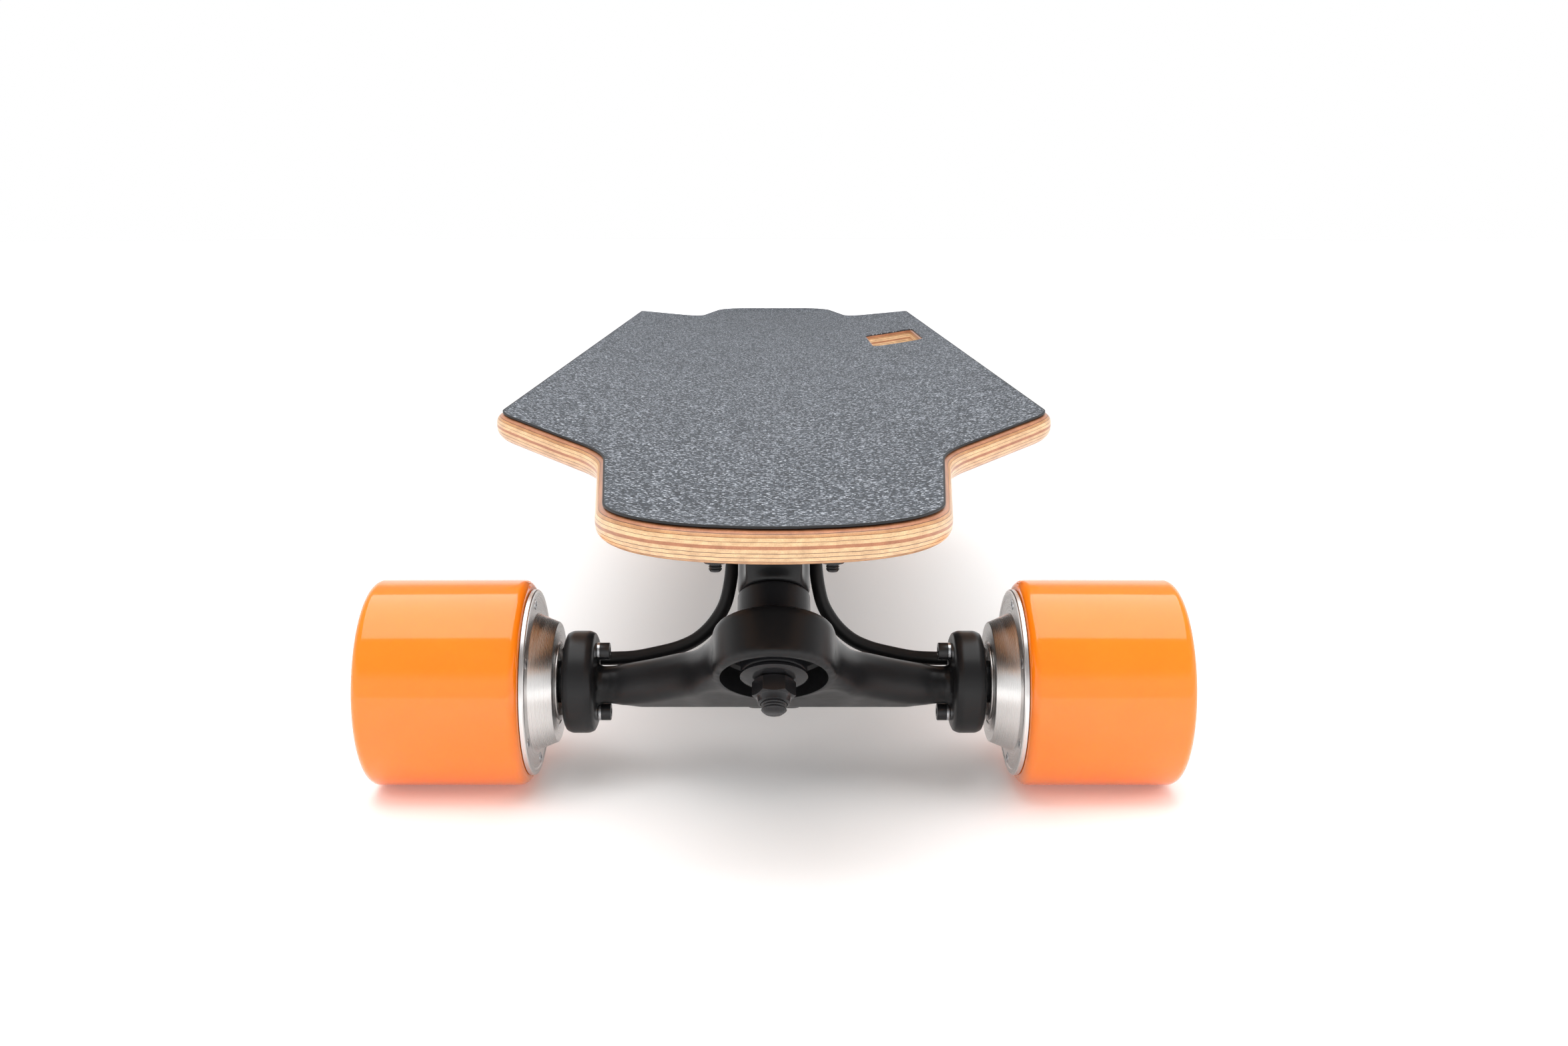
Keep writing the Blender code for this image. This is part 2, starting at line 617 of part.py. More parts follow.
def drill_flange(hanger, side, sign, black, steel):
    """The flange's axle bore and its two screws."""
    bore = turned(f"flange_{side}_bore", [(AXLE_RADIUS + GAP, FLANGE_THICKNESS - AXLE_SEAT - GAP),
                                          (AXLE_RADIUS + GAP, FLANGE_THICKNESS + 0.01)],
                  black, flange_place(sign))
    cut(hanger, bore)
    for level, step in (("upper", 1), ("lower", -1)):
        place = at(0, 0, step * FLANGE_SCREW_SPACING / 2) @ flange_place(sign)
        hole = turned(f"flange_{side}_{level}_hole", [(FLANGE_SCREW_RADIUS + GAP, -0.003),
                                                      (FLANGE_SCREW_RADIUS + GAP, 0.02)],
                      black, place, SMALL)
        cut(hanger, hole)
        head = -GAP - FLANGE_SCREW_WASHER
        turned(f"flange_screw_{side}_{level}", [
            (FLANGE_SCREW_HEAD_RADIUS, head - FLANGE_SCREW_HEAD), (FLANGE_SCREW_HEAD_RADIUS, -GAP),
            (FLANGE_SCREW_RADIUS, -GAP), (FLANGE_SCREW_RADIUS, FLANGE_THICKNESS + FLANGE_SCREW_TAIL)],
               steel, place, SMALL)


def make_tyre(name, width, bore, shoulder, place, orange):
    """A tyre whose own z = 0 is its inner face; `shoulder` is the bore piece's inset."""
    soft = TYRE_ROUND
    outer = []
    for k in range(3):
        turn = pi / 2 * k / 2
        outer.append((WHEEL_RADIUS - soft + soft * sin(turn), soft - soft * cos(turn)))
    outer += [(r, width - h) for r, h in reversed(outer)]
    lip = bore + 2.5 * shoulder
    inner = [(lip, width), (bore, width - shoulder), (bore, shoulder), (lip, 0)]
    if shoulder == 0:
        inner = [(bore, width), (bore, 0)]
    turned(name, outer + inner, orange, place, WHEEL_SIDES, hollow=True)


def make_motor_wheel(side, sign, paint):
    """Hub motor: tyre, shell, inner side plate with its cone, bearing, and the fixed stator."""
    axle_y = TRUCKS["rear"] * AXLE_Y
    face = along_x(sign * WHEEL_INNER_X, axle_y, WHEEL_RADIUS, sign)
    make_tyre(f"motor_tyre_{side}", WHEEL_WIDTH, SHELL_RADIUS + GAP, 0, face, paint["orange"])
    floor = WHEEL_WIDTH - SHELL_WALL
    bore = SHELL_RADIUS - SHELL_WALL
    turned(f"motor_shell_{side}", [(bore, floor), (bore, 0), (SHELL_RADIUS, 0),
                                   (SHELL_RADIUS, WHEEL_WIDTH - 0.001),
                                   (SHELL_RADIUS - 0.001, WHEEL_WIDTH)],
           paint["metal"], face, WHEEL_SIDES)
    rim = -GAP - PLATE_THICKNESS
    cone = rim - CONE_HEIGHT
    seat = BEARING_RADIUS + GAP
    turned(f"motor_side_plate_{side}", [
        (seat, -GAP), (PLATE_RADIUS, -GAP),
        (PLATE_RADIUS, rim), (CONE_BASE_RADIUS, rim),
        (CONE_TOP_RADIUS, cone), (COLLAR_RADIUS, cone), (COLLAR_RADIUS, cone - COLLAR_HEIGHT),
        (COLLAR_RADIUS - 0.002, cone - COLLAR_HEIGHT), (COLLAR_RADIUS - 0.002, cone + 0.001),
        (AXLE_RADIUS + RUNNING, cone + 0.001), (AXLE_RADIUS + RUNNING, cone + 0.003),
        (seat, cone + 0.003)], paint["metal"], face, WHEEL_SIDES, hollow=True)
    turned(f"motor_bearing_{side}", [
        (AXLE_RADIUS + RUNNING, cone + 0.003 + GAP), (BEARING_RADIUS, cone + 0.003 + GAP),
        (BEARING_RADIUS, -2 * GAP), (AXLE_RADIUS + RUNNING, -2 * GAP)],
           paint["steel"], face, ROUND, hollow=True)
    start = FLANGE_FACE_X - AXLE_SEAT - WHEEL_INNER_X
    turned(f"motor_stator_{side}", [
        (AXLE_RADIUS, start), (AXLE_RADIUS, STATOR_GAP), (STATOR_RADIUS, STATOR_GAP),
        (STATOR_RADIUS, floor - STATOR_GAP), (AXLE_RADIUS * 0.6, floor - STATOR_GAP),
        (AXLE_RADIUS * 0.6, floor - 0.001)], paint["copper"], face, ROUND)


def make_free_wheel(side, sign, paint):
    """Front wheel: tyre, core, the two bearings with the sleeve between them, and the nut."""
    axle_y = TRUCKS["front"] * AXLE_Y
    face = along_x(sign * FREE_WHEEL_INNER_X, axle_y, WHEEL_RADIUS, sign)
    width = FREE_WHEEL_WIDTH
    make_tyre(f"front_tyre_{side}", width, FREE_CORE_RADIUS + GAP, FREE_CORE_INSET, face,
              paint["orange"])
    seat = FREE_BEARING_RADIUS + GAP
    near = FREE_BEARING_INSET
    back = near + FREE_BEARING_WIDTH + GAP
    web = FREE_SPACER_RADIUS + 2 * RUNNING
    low, high = FREE_CORE_INSET + GAP, width - FREE_CORE_INSET - GAP
    turned(f"front_wheel_core_{side}", [
        (FREE_CORE_RADIUS, low), (FREE_CORE_RADIUS, high), (seat, high), (seat, width - back),
        (web, width - back), (web, back), (seat, back), (seat, low)],
           paint["core"], face, ROUND, hollow=True)
    bore = FREE_AXLE_RADIUS + RUNNING / 2
    turned(f"front_bearings_{side}", [
        (bore, near), (FREE_BEARING_RADIUS, near), (FREE_BEARING_RADIUS, back - GAP),
        (FREE_SPACER_RADIUS, back - GAP), (FREE_SPACER_RADIUS, width - back + GAP),
        (FREE_BEARING_RADIUS, width - back + GAP), (FREE_BEARING_RADIUS, width - near),
        (bore, width - near)], paint["steel"], face, ROUND, hollow=True)
    nut_start = width - near + RUNNING
    nut(f"front_axle_nut_{side}", FREE_NUT_FLATS, FREE_NUT_HEIGHT, FREE_AXLE_RADIUS + GAP,
        paint["steel"], face @ at(0, 0, nut_start))


def make_front_axle(hanger, paint):
    reach = FREE_WHEEL_INNER_X + FREE_WHEEL_WIDTH - FREE_BEARING_INSET + FREE_NUT_HEIGHT + 0.002
    place = along_x(0, TRUCKS["front"] * AXLE_Y, WHEEL_RADIUS, 1)
    turned("front_axle", [(FREE_AXLE_RADIUS - 0.0006, -reach), (FREE_AXLE_RADIUS, 0.0006 - reach),
                          (FREE_AXLE_RADIUS, reach - 0.0006), (FREE_AXLE_RADIUS - 0.0006, reach)],
           paint["steel"], place, MIDDLE)
    bore = turned("front_axle_hole", [(FREE_AXLE_RADIUS + GAP, -0.2), (FREE_AXLE_RADIUS + GAP, 0.2)],
                  paint["black"], place, MIDDLE)
    cut(hanger, bore)


# ---------------------------------------------------------------- electronics box
CASE_REAR = -AXLE_Y + CASE_TRUCK_GAP
CASE_FRONT = SLOT_Y - SLOT_LENGTH / 2 - CASE_SLOT_GAP
CASE_MIDDLE = (CASE_REAR + CASE_FRONT) / 2
CASE_HALF_LENGTH = (CASE_FRONT - CASE_REAR) / 2
CASE_BOTTOM = DECK_TOP - DECK_THICKNESS - CASE_DEPTH
SOCKET_HEIGHT = CASE_BOTTOM + SOCKET_RISE


def case_outline(grow):
    """The box's outline at its top, moved out by `grow`, in the deck's frame."""
    shape = oblong(CASE_HALF_WIDTH + grow, CASE_HALF_LENGTH + grow, CASE_RADIUS + grow)
    widest = 2 * (CASE_HALF_WIDTH - CASE_RADIUS)
    points = []
    for i, (x, y) in enumerate(shape):
        stop = shape[(i + 1) % len(shape)]
        count = 8 if abs(stop[0] - x) > widest / 2 else 1
        points += [(x + (stop[0] - x) * k / count, y + (stop[1] - y) * k / count + CASE_MIDDLE)
                   for k in range(count)]
    return points


def under_deck(x, y, drop):
    return (x, y, deck_top(x, y) - DECK_THICKNESS - GAP - drop)


def make_case(black, rubber):
    """A moulded tray whose lip follows the deck's underside, with a gasket on the lip."""
    bm = bmesh.new()
    drop = GASKET_THICKNESS + GAP
    lip = CASE_LIP
    wall = CASE_WALL
    floor = CASE_BOTTOM + wall
    loops = [ring(bm, [(x, y, floor) for x, y in case_outline(-CASE_LEAN - wall)]),
             ring(bm, [under_deck(x, y, drop) for x, y in case_outline(-wall)]),
             ring(bm, [under_deck(x, y, drop) for x, y in case_outline(lip)]),
             ring(bm, [under_deck(x, y, drop + CASE_LIP_THICKNESS) for x, y in case_outline(lip)]),
             ring(bm, [under_deck(x, y, drop + CASE_LIP_THICKNESS) for x, y in case_outline(0)]),
             ring(bm, [(x, y, CASE_BOTTOM + 0.002) for x, y in case_outline(-CASE_LEAN + 0.0008)]),
             ring(bm, [(x, y, CASE_BOTTOM) for x, y in case_outline(-CASE_LEAN - 0.002)])]
    bridge(bm, loops)
    case = add("electronics_case", bm, black)
    bm = bmesh.new()
    bridge(bm, [ring(bm, [under_deck(x, y, fall) for x, y in case_outline(grow)])
                for grow, fall in ((lip, 0), (lip, GASKET_THICKNESS), (-wall, GASKET_THICKNESS),
                                   (-wall, 0))], closed=True)
    add("case_gasket", bm, rubber)
    return case


def wall_x(z):
    """Outer face of the box's right wall at a height."""
    top = under_deck(CASE_HALF_WIDTH, 0, GASKET_THICKNESS + GAP + CASE_LIP_THICKNESS)[2]
    return CASE_HALF_WIDTH - CASE_LEAN * (top - z) / (top - CASE_BOTTOM)


def make_electrics(case, paint):
    """Battery, controller, power button, charge port and its hinged cap."""
    floor = CASE_BOTTOM + CASE_WALL + GAP
    inner_front = CASE_FRONT - CASE_LEAN - CASE_WALL - CELL_GAP
    inner_rear = CASE_REAR + CASE_LEAN + CASE_WALL + CELL_GAP
    battery_length = inner_front - inner_rear - CONTROLLER_LENGTH - WIRING_SPACE
    battery_y = inner_front - battery_length / 2
    prism("battery_pack", oblong(BATTERY_WIDTH / 2, battery_length / 2, 0.006), floor,
          floor + BATTERY_HEIGHT, paint["blue"], at(0, battery_y, 0))
    controller_y = inner_rear + CONTROLLER_LENGTH / 2
    prism("motor_controller", oblong(CONTROLLER_WIDTH / 2, CONTROLLER_LENGTH / 2, 0.003), floor,
          floor + CONTROLLER_HEIGHT, paint["metal"], at(0, controller_y, 0))
    button_y = CASE_REAR + SOCKET_FROM_END
    port_y = button_y + SOCKET_SPACING
    outside = wall_x(SOCKET_HEIGHT)
    for name, y, radius in (("button_hole", button_y, BUTTON_RADIUS + GAP),
                            ("port_hole", port_y, PORT_RADIUS + GAP)):
        hole = turned(name, [(radius, -0.012), (radius, 0.012)], paint["black"],
                      along_x(outside, y, SOCKET_HEIGHT, 1), ROUND)
        cut(case, hole)
    button = along_x(outside + BUTTON_PROUD, button_y, SOCKET_HEIGHT, 1)
    turned("power_button", [(BUTTON_RADIUS, -BUTTON_LENGTH), (BUTTON_RADIUS, -0.0008),
                            (BUTTON_RADIUS - 0.0008, 0)], paint["steel"], button, ROUND)
    cap_x = wall_x(SOCKET_HEIGHT + CAP_RADIUS) + 2 * GAP
    port = along_x(cap_x - GAP, port_y, SOCKET_HEIGHT, 1)
    turned("charge_port", [(PORT_RADIUS, -PORT_LENGTH), (PORT_RADIUS, 0), (PORT_BORE, 0),
                           (PORT_BORE, -PORT_LENGTH * 0.7)], paint["metal"], port, ROUND)
    cap = along_x(cap_x, port_y, SOCKET_HEIGHT, 1)
    body = turned("charge_port_cap", [(CAP_RADIUS, 0), (CAP_RADIUS, CAP_THICKNESS - 0.0006),
                                      (CAP_RADIUS - 0.0006, CAP_THICKNESS)], paint["rubber"], cap, ROUND)
    pin = Matrix.Translation((cap_x + CAP_PIN_RADIUS, port_y - CAP_RADIUS - 0.0004, SOCKET_HEIGHT))
    barrel = turned("cap_barrel_body", [(CAP_PIN_RADIUS, -0.005), (CAP_PIN_RADIUS, 0.005)],
                    paint["rubber"], pin, SMALL)
    cut(body, barrel, "UNION")


# ---------------------------------------------------------------- phase leads
# Points of the lead on the right, from the flange to the box: across, inboard of the axle,
# height over the axle.
LEAD_ROUTE = [(0.0713, 0.0080, 0.0075), (0.0660, 0.0085, 0.0073), (0.0575, 0.0105, 0.0072),
              (0.0480, 0.0125, 0.0085), (0.0395, 0.0135, 0.0105), (0.0320, 0.0140, 0.0140),
              (0.0255, 0.0143, 0.0200), (0.0205, 0.0147, 0.0280), (0.0182, 0.0158, 0.0365),
              (0.0172, 0.0190, 0.0450), (0.0170, 0.0245, 0.0520), (0.0170, 0.0320, 0.0570),
              (0.0170, 0.0400, 0.0595), (0.0170, 0.0470, 0.0603)]


def smooth_route(points, spacing):
    """Points on a smooth curve through the route, about `spacing` apart."""
    knots = [Vector(p) for p in points]
    knots = [2 * knots[0] - knots[1]] + knots + [2 * knots[-1] - knots[-2]]
    route = []
    for before, start, stop, after in zip(knots, knots[1:], knots[2:], knots[3:]):
        count = max(1, round((stop - start).length / spacing))
        for k in range(count):
            t = k / count
            route.append(0.5 * (2 * start + (stop - before) * t
                                + (2 * before - 5 * start + 4 * stop - after) * t ** 2
                                + (3 * start - before - 3 * stop + after) * t ** 3))
    return route + [knots[-2]]


def make_lead(side, sign, rubber):
    route = smooth_route(LEAD_ROUTE, 2.2 * LEAD_RADIUS)
    curve = bpy.data.curves.new(f"phase_lead_{side}", "CURVE")
    curve.dimensions = "3D"
    curve.bevel_depth = LEAD_RADIUS
    curve.bevel_resolution = 2
    curve.use_fill_caps = True
    spline = curve.splines.new("POLY")
    spline.points.add(len(route) - 1)
    for point, (x, inboard, rise) in zip(spline.points, route):
        point.co = (sign * x, -AXLE_Y + inboard, WHEEL_RADIUS + rise, 1)
    curve.materials.append(rubber)
    lead = bpy.data.objects.new(f"phase_lead_{side}", curve)
    bpy.context.scene.collection.objects.link(lead)


def main():
    clear_scene()
    paint = {
        "wood": material("maple_plywood", (0.72, 0.52, 0.34), 0.5),
        "grit": material("grip_tape", (0.12, 0.13, 0.15), 0.95),
        "black": material("satin_black", (0.015, 0.015, 0.016), 0.35),
        "rubber": material("black_rubber", (0.02, 0.02, 0.02), 0.6),
        "steel": material("dark_steel", (0.05, 0.05, 0.055), 0.4, 1.0),
        "metal": material("turned_aluminium", (0.8, 0.8, 0.82), 0.25, 1.0),
        "orange": material("orange_urethane", (1.0, 0.30, 0.03), 0.15),
        "core": material("wheel_core", (0.9, 0.9, 0.88), 0.4),
        "copper": material("stator", (0.45, 0.22, 0.10), 0.5, 0.6),
        "blue": material("battery_wrap", (0.03, 0.10, 0.35), 0.5),
    }
    make_deck(paint["wood"], paint["grit"])
    make_truck_bolts(paint["steel"])
    flange_inner = FLANGE_FACE_X - FLANGE_THICKNESS
    reach = {"rear": flange_inner + 0.002, "front": FREE_WHEEL_INNER_X + FREE_BEARING_INSET - RUNNING}
    for truck, end in TRUCKS.items():
        make_baseplate(truck, end, paint["black"], paint["rubber"])
        make_kingpin(truck, end, paint["steel"], paint["rubber"])
        hanger = make_hanger(truck, end, paint["black"], reach[truck], 0.0076)
        if truck == "front":
            make_front_axle(hanger, paint)
            continue
        for side, sign in SIDES.items():
            make_end_flange(hanger, side, sign, paint["black"])
        for side, sign in SIDES.items():
            drill_flange(hanger, side, sign, paint["black"], paint["steel"])
    for side, sign in SIDES.items():
        make_motor_wheel(side, sign, paint)
        make_free_wheel(side, sign, paint)
        make_lead(side, sign, paint["rubber"])
    case = make_case(paint["black"], paint["rubber"])
    make_electrics(case, paint)


main()
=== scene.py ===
"""Electric skateboard: finished surfaces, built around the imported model. Metres, +Z up."""

import json
from math import atan2, cos, pi, radians, sin, tan

import bmesh
import bpy
from mathutils import Matrix, Vector


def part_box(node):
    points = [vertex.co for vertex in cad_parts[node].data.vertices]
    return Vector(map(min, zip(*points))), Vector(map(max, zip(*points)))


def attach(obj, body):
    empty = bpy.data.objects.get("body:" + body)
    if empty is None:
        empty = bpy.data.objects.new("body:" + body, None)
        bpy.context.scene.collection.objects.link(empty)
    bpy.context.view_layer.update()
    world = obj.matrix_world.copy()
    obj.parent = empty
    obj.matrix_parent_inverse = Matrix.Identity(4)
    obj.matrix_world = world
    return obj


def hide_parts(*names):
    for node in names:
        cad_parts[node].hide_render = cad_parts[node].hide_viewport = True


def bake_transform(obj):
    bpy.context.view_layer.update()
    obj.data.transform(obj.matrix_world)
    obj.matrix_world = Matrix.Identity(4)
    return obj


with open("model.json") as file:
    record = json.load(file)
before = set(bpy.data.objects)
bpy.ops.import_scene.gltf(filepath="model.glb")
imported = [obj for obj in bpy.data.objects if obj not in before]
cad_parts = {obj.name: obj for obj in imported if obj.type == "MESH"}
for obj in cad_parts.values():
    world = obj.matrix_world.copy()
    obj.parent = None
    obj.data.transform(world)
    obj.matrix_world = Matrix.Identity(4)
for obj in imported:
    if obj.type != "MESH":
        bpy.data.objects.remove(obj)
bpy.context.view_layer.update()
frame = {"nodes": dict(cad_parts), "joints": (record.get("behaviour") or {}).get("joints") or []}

# ---------------------------------------------------------------- measures from the frame
DECK_LOW, DECK_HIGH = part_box("deck")
JOINTS = {joint["name"]: joint for joint in frame["joints"]}
WHEEL_Z = JOINTS["motor_wheel_right_spin"]["pos_m"][2]
AXLE_Y = -JOINTS["motor_wheel_right_spin"]["pos_m"][1]
DECK_HALF_WIDTH = DECK_HIGH.x
NOSE_TIP_Y = DECK_HIGH.y
NOSE_OVERHANG = NOSE_TIP_Y - AXLE_Y
TRUCKS = {"rear": -1, "front": 1}
SIDES = {"left": -1, "right": 1}

# The deck's own shape, as in the frame
DECK_TOP = 0.1298
DECK_THICKNESS = DECK_TOP - DECK_LOW.z
NOSE_HALF_WIDTH, NECK_HALF_WIDTH = 0.0560, 0.0710
NOSE_BOW, NOSE_RADIUS, NECK_RADIUS, SHOULDER_RADIUS = 0.006, 0.046, 0.055, 0.026
NECK_INSET, SHOULDER_INSET = 0.010, 0.066
CONCAVE, TIP_RISE, TIP_START = 0.0130, 0.0030, 0.0840
EDGE_ROUND = 0.0046
GRIP_INSET, GRIP_THICKNESS, GAP = 0.0026, 0.0008, 0.0003
SLOT_WIDTH, SLOT_LENGTH, SLOT_RADIUS = 0.034, 0.099, 0.006
SLOT_X, SLOT_Y = 0.0895, 0.120

# Truck geometry, as in the frame
KINGPIN_TILT = radians(50)
SEAT_OUT, SEAT_HEIGHT = 0.034, 0.072
PIVOT_IN, PIVOT_HEIGHT = 0.024, 0.0314
ARM_RADIUS, ARM_HEIGHT = 0.0085, 0.0395
RING_WEB, RECESS_DEPTH = 0.008, 0.011
BARREL_RADIUS, RECESS_RADIUS = 0.0235, 0.0205


# ---------------------------------------------------------------- mesh helpers
def add(name, bm, material, body, place=Matrix(), replaces=(), crease=35):
    """Finish a bmesh as a piece that rides on `body`."""
    bmesh.ops.recalc_face_normals(bm, faces=bm.faces)
    mesh = bpy.data.meshes.new(name)
    bm.to_mesh(mesh)
    bm.free()
    mesh.transform(place)
    mesh.materials.append(material)
    mesh.shade_smooth()
    mesh.set_sharp_from_angle(angle=radians(crease))
    made = bpy.data.objects.new(name, mesh)
    bpy.context.scene.collection.objects.link(made)
    if body:
        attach(made, body)
    if replaces:
        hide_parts(*replaces)
    return made


def ring(bm, points):
    return [bm.verts.new(p) for p in points]


def bridge(bm, loops, closed=False):
    rows = list(zip(loops, loops[1:]))
    if closed:
        rows.append((loops[-1], loops[0]))
    for near, far in rows:
        for i in range(len(near)):
            j = (i + 1) % len(near)
            bm.faces.new((near[i], near[j], far[j], far[i]))
    if not closed:
        bm.faces.new(loops[0])
        bm.faces.new(loops[-1])


def circle(radius, height, sides):
    return [(radius * cos(2 * pi * k / sides), radius * sin(2 * pi * k / sides), height)
            for k in range(sides)]


def lathe(bm, profile, sides=96, closed=False):
    """Turn (radius, height) pairs about Z."""
    bridge(bm, [ring(bm, circle(r, h, sides)) for r, h in profile], closed)


def turned(name, profile, material, body, place, sides=96, closed=False, replaces=(), crease=35):
    bm = bmesh.new()
    lathe(bm, profile, sides, closed)
    return add(name, bm, material, body, place, replaces, crease)


def eased(profile, radius, steps=3):
    """Round each corner of a closed (radius, height) profile."""
    points = []
    for i, corner in enumerate(profile):
        before, after = profile[i - 1], profile[(i + 1) % len(profile)]
        reach = min((Vector(before) - Vector(corner)).length,
                    (Vector(after) - Vector(corner)).length) * 0.45
        half = (Vector(before) - Vector(corner)).angle(Vector(after) - Vector(corner)) / 2
        if abs(half - pi / 2) < 0.02:
            points.append(corner)
            continue
        points += arc(before, corner, after, min(radius, reach * tan(half)), steps)
    return points


def arc(before, here, after, radius, steps=8):
    """The points that round one corner of a path."""
    here = Vector(here)
    back = (Vector(before) - here).normalized()
    ahead = (Vector(after) - here).normalized()
    half = back.angle(ahead) / 2
    middle = here + (back + ahead).normalized() * radius / sin(half)
    start = here + back * radius / tan(half) - middle
    stop = here + ahead * radius / tan(half) - middle
    first = atan2(start.y, start.x)
    turn = atan2(start.cross(stop), start.dot(stop))
    return [(middle.x + radius * cos(first + turn * k / steps),
             middle.y + radius * sin(first + turn * k / steps)) for k in range(steps + 1)]


def oblong(half_x, half_y, radius, steps=8):
    corners = [(half_x, -half_y), (half_x, half_y), (-half_x, half_y), (-half_x, -half_y)]
    outline = []
    for i, corner in enumerate(corners):
        outline += arc(corners[i - 1], corner, corners[(i + 1) % 4], radius, steps)
    return outline


def at(x, y, z):
    return Matrix.Translation((x, y, z))


def along_x(x, y, z, sign):
    return at(x, y, z) @ Matrix.Rotation(sign * pi / 2, 4, "Y")


def truck_frame(end):
    turn = Matrix.Rotation(0 if end > 0 else pi, 4, "Z")
    return at(0, end * AXLE_Y, 0) @ turn


def kingpin_frame(end):
    lean = Matrix.Rotation(pi / 2 - KINGPIN_TILT, 4, "X")
    return truck_frame(end) @ at(0, SEAT_OUT, SEAT_HEIGHT) @ lean


def pivot_frame(end):
    rise = atan2(SEAT_HEIGHT - PIVOT_HEIGHT, SEAT_OUT + PIVOT_IN)
    lean = Matrix.Rotation(-(pi / 2 - rise), 4, "X")
    return truck_frame(end) @ at(0, -PIVOT_IN, PIVOT_HEIGHT) @ lean


def apply_modifiers(piece):
    """Bake the piece's modifiers into its mesh."""
    graph = bpy.context.evaluated_depsgraph_get()
    graph.update()
    mesh = bpy.data.meshes.new_from_object(piece.evaluated_get(graph))
    piece.modifiers.clear()
    piece.data = mesh
    return piece


def boolean(piece, helper, operation="DIFFERENCE"):
    step = piece.modifiers.new(helper.name, "BOOLEAN")
    step.operation = operation
    step.solver = "EXACT"
    step.object = helper
    apply_modifiers(piece)
    bpy.data.objects.remove(helper, do_unlink=True)


# ---------------------------------------------------------------- stage
def make_stage():
    """White sweep, wide soft light, and the camera low over the motor end."""
    scene = bpy.context.scene
    camera_data = bpy.data.cameras.new("camera")
    camera_data.lens = 34.21
    camera_data.sensor_width = 36
    camera_data.shift_x = 0.0064
    camera = bpy.data.objects.new("camera", camera_data)
    camera.location = (0, -AXLE_Y - 0.581, 0.227)
    camera.rotation_euler = (pi / 2 - 0.203, 0, 0)
    scene.collection.objects.link(camera)
    scene.camera = camera
    world = bpy.data.worlds.new("studio")
    world.use_nodes = True
    tree = world.node_tree
    way = node(tree, "ShaderNodeTexCoord", output=0)
    height = node(tree, "ShaderNodeSeparateXYZ", {0: way}, 2)
    glow = ramp(tree, height, [(0.0, (1.0, 1.0, 1.0)), (0.30, (1.0, 1.0, 1.0)),
                               (0.46, (0.42, 0.42, 0.42)), (1.0, (0.34, 0.34, 0.34))])
    fill(tree.nodes["Background"].inputs["Color"], glow)
    tree.nodes["Background"].inputs["Strength"].default_value = 1.0
    scene.world = world
    scene.view_settings.view_transform = "Standard"
    floor_material = bpy.data.materials.new("studio_floor")
    floor_material.use_nodes = True
    shader = floor_material.node_tree.nodes["Principled BSDF"]
    shader.inputs["Base Color"].default_value = (0.93, 0.93, 0.93, 1)
    shader.inputs["Roughness"].default_value = 0.55
    shader.inputs["Specular IOR Level"].default_value = 0.25
    shader.inputs["Emission Color"].default_value = (1, 1, 1, 1)
    tree = floor_material.node_tree
    place = node(tree, "ShaderNodeTexCoord", output=3)
    away = tree.nodes.new("ShaderNodeVectorMath")
    away.operation = "LENGTH"
    fill(away.inputs[0], place)
    glow = node(tree, "ShaderNodeMapRange", {0: away.outputs["Value"], 1: 0.9, 2: 2.6, 3: 0.14, 4: 1.0})
    fill(shader.inputs["Emission Strength"], glow)
    bm = bmesh.new()
    bmesh.ops.create_circle(bm, cap_ends=True, segments=64, radius=14)
    floor = add("studio_floor", bm, floor_material, None)
    lights = [("key", (-0.7, -1.3, 1.9), 1.6, 22, False), ("fill", (1.5, -0.9, 1.3), 1.4, 10, False),
              ("top", (0, -0.15, 1.5), 1.9, 24, True)]
    for name, where, size, power, mirrored in lights:
        lamp_data = bpy.data.lights.new(name, "AREA")
        lamp_data.size = size
        lamp_data.energy = power
        lamp = bpy.data.objects.new(name, lamp_data)
        lamp.location = where
        lamp.visible_glossy = mirrored
        aim = Vector((0, -0.2, 0.05)) - Vector(where)
        lamp.rotation_euler = aim.to_track_quat("-Z", "Y").to_euler()
        scene.collection.objects.link(lamp)


# ---------------------------------------------------------------- node helpers
def fill(socket, value):
    """Link an output socket into `socket`, or set it to a plain value."""
    if isinstance(value, bpy.types.NodeSocket):
        socket.id_data.links.new(value, socket)
    else:
        socket.default_value = value


def node(tree, kind, values=(), output=0, **settings):
    """Add one node; `values` maps an input's index or name to a value or an output socket."""
    made = tree.nodes.new(kind)
    for key, value in settings.items():
        setattr(made, key, value)
    for key, value in dict(values).items():
        fill(made.inputs[key], value)
    return made.outputs[output]


def math(tree, operation, first, second=0.0):
    return node(tree, "ShaderNodeMath", {0: first, 1: second}, operation=operation)


def mix(tree, factor, first, second):
    """Blend two colours."""
    return node(tree, "ShaderNodeMix", {0: factor, 6: first, 7: second}, 2, data_type="RGBA")


def ramp(tree, value, stops, interpolation="LINEAR"):
    """A colour ramp through (position, colour) stops."""
    made = tree.nodes.new("ShaderNodeValToRGB")
    made.color_ramp.interpolation = interpolation
    elements = made.color_ramp.elements
    while len(elements) < len(stops):
        elements.new(0.5)
    for element, (position, colour) in zip(elements, stops):
        element.position = position
        element.color = (*colour, 1)
    fill(made.inputs[0], value)
    return made.outputs[0]


def object_point(tree, scale=(1, 1, 1)):
    """Position on the piece at rest, in metres, stretched by `scale`."""
    place = node(tree, "ShaderNodeTexCoord", output=3)
    return node(tree, "ShaderNodeVectorMath", {0: place, 1: scale}, operation="MULTIPLY")


def speckle(tree, point, scale, detail=2.0):
    return node(tree, "ShaderNodeTexNoise", {"Vector": point, "Scale": scale, "Detail": detail})


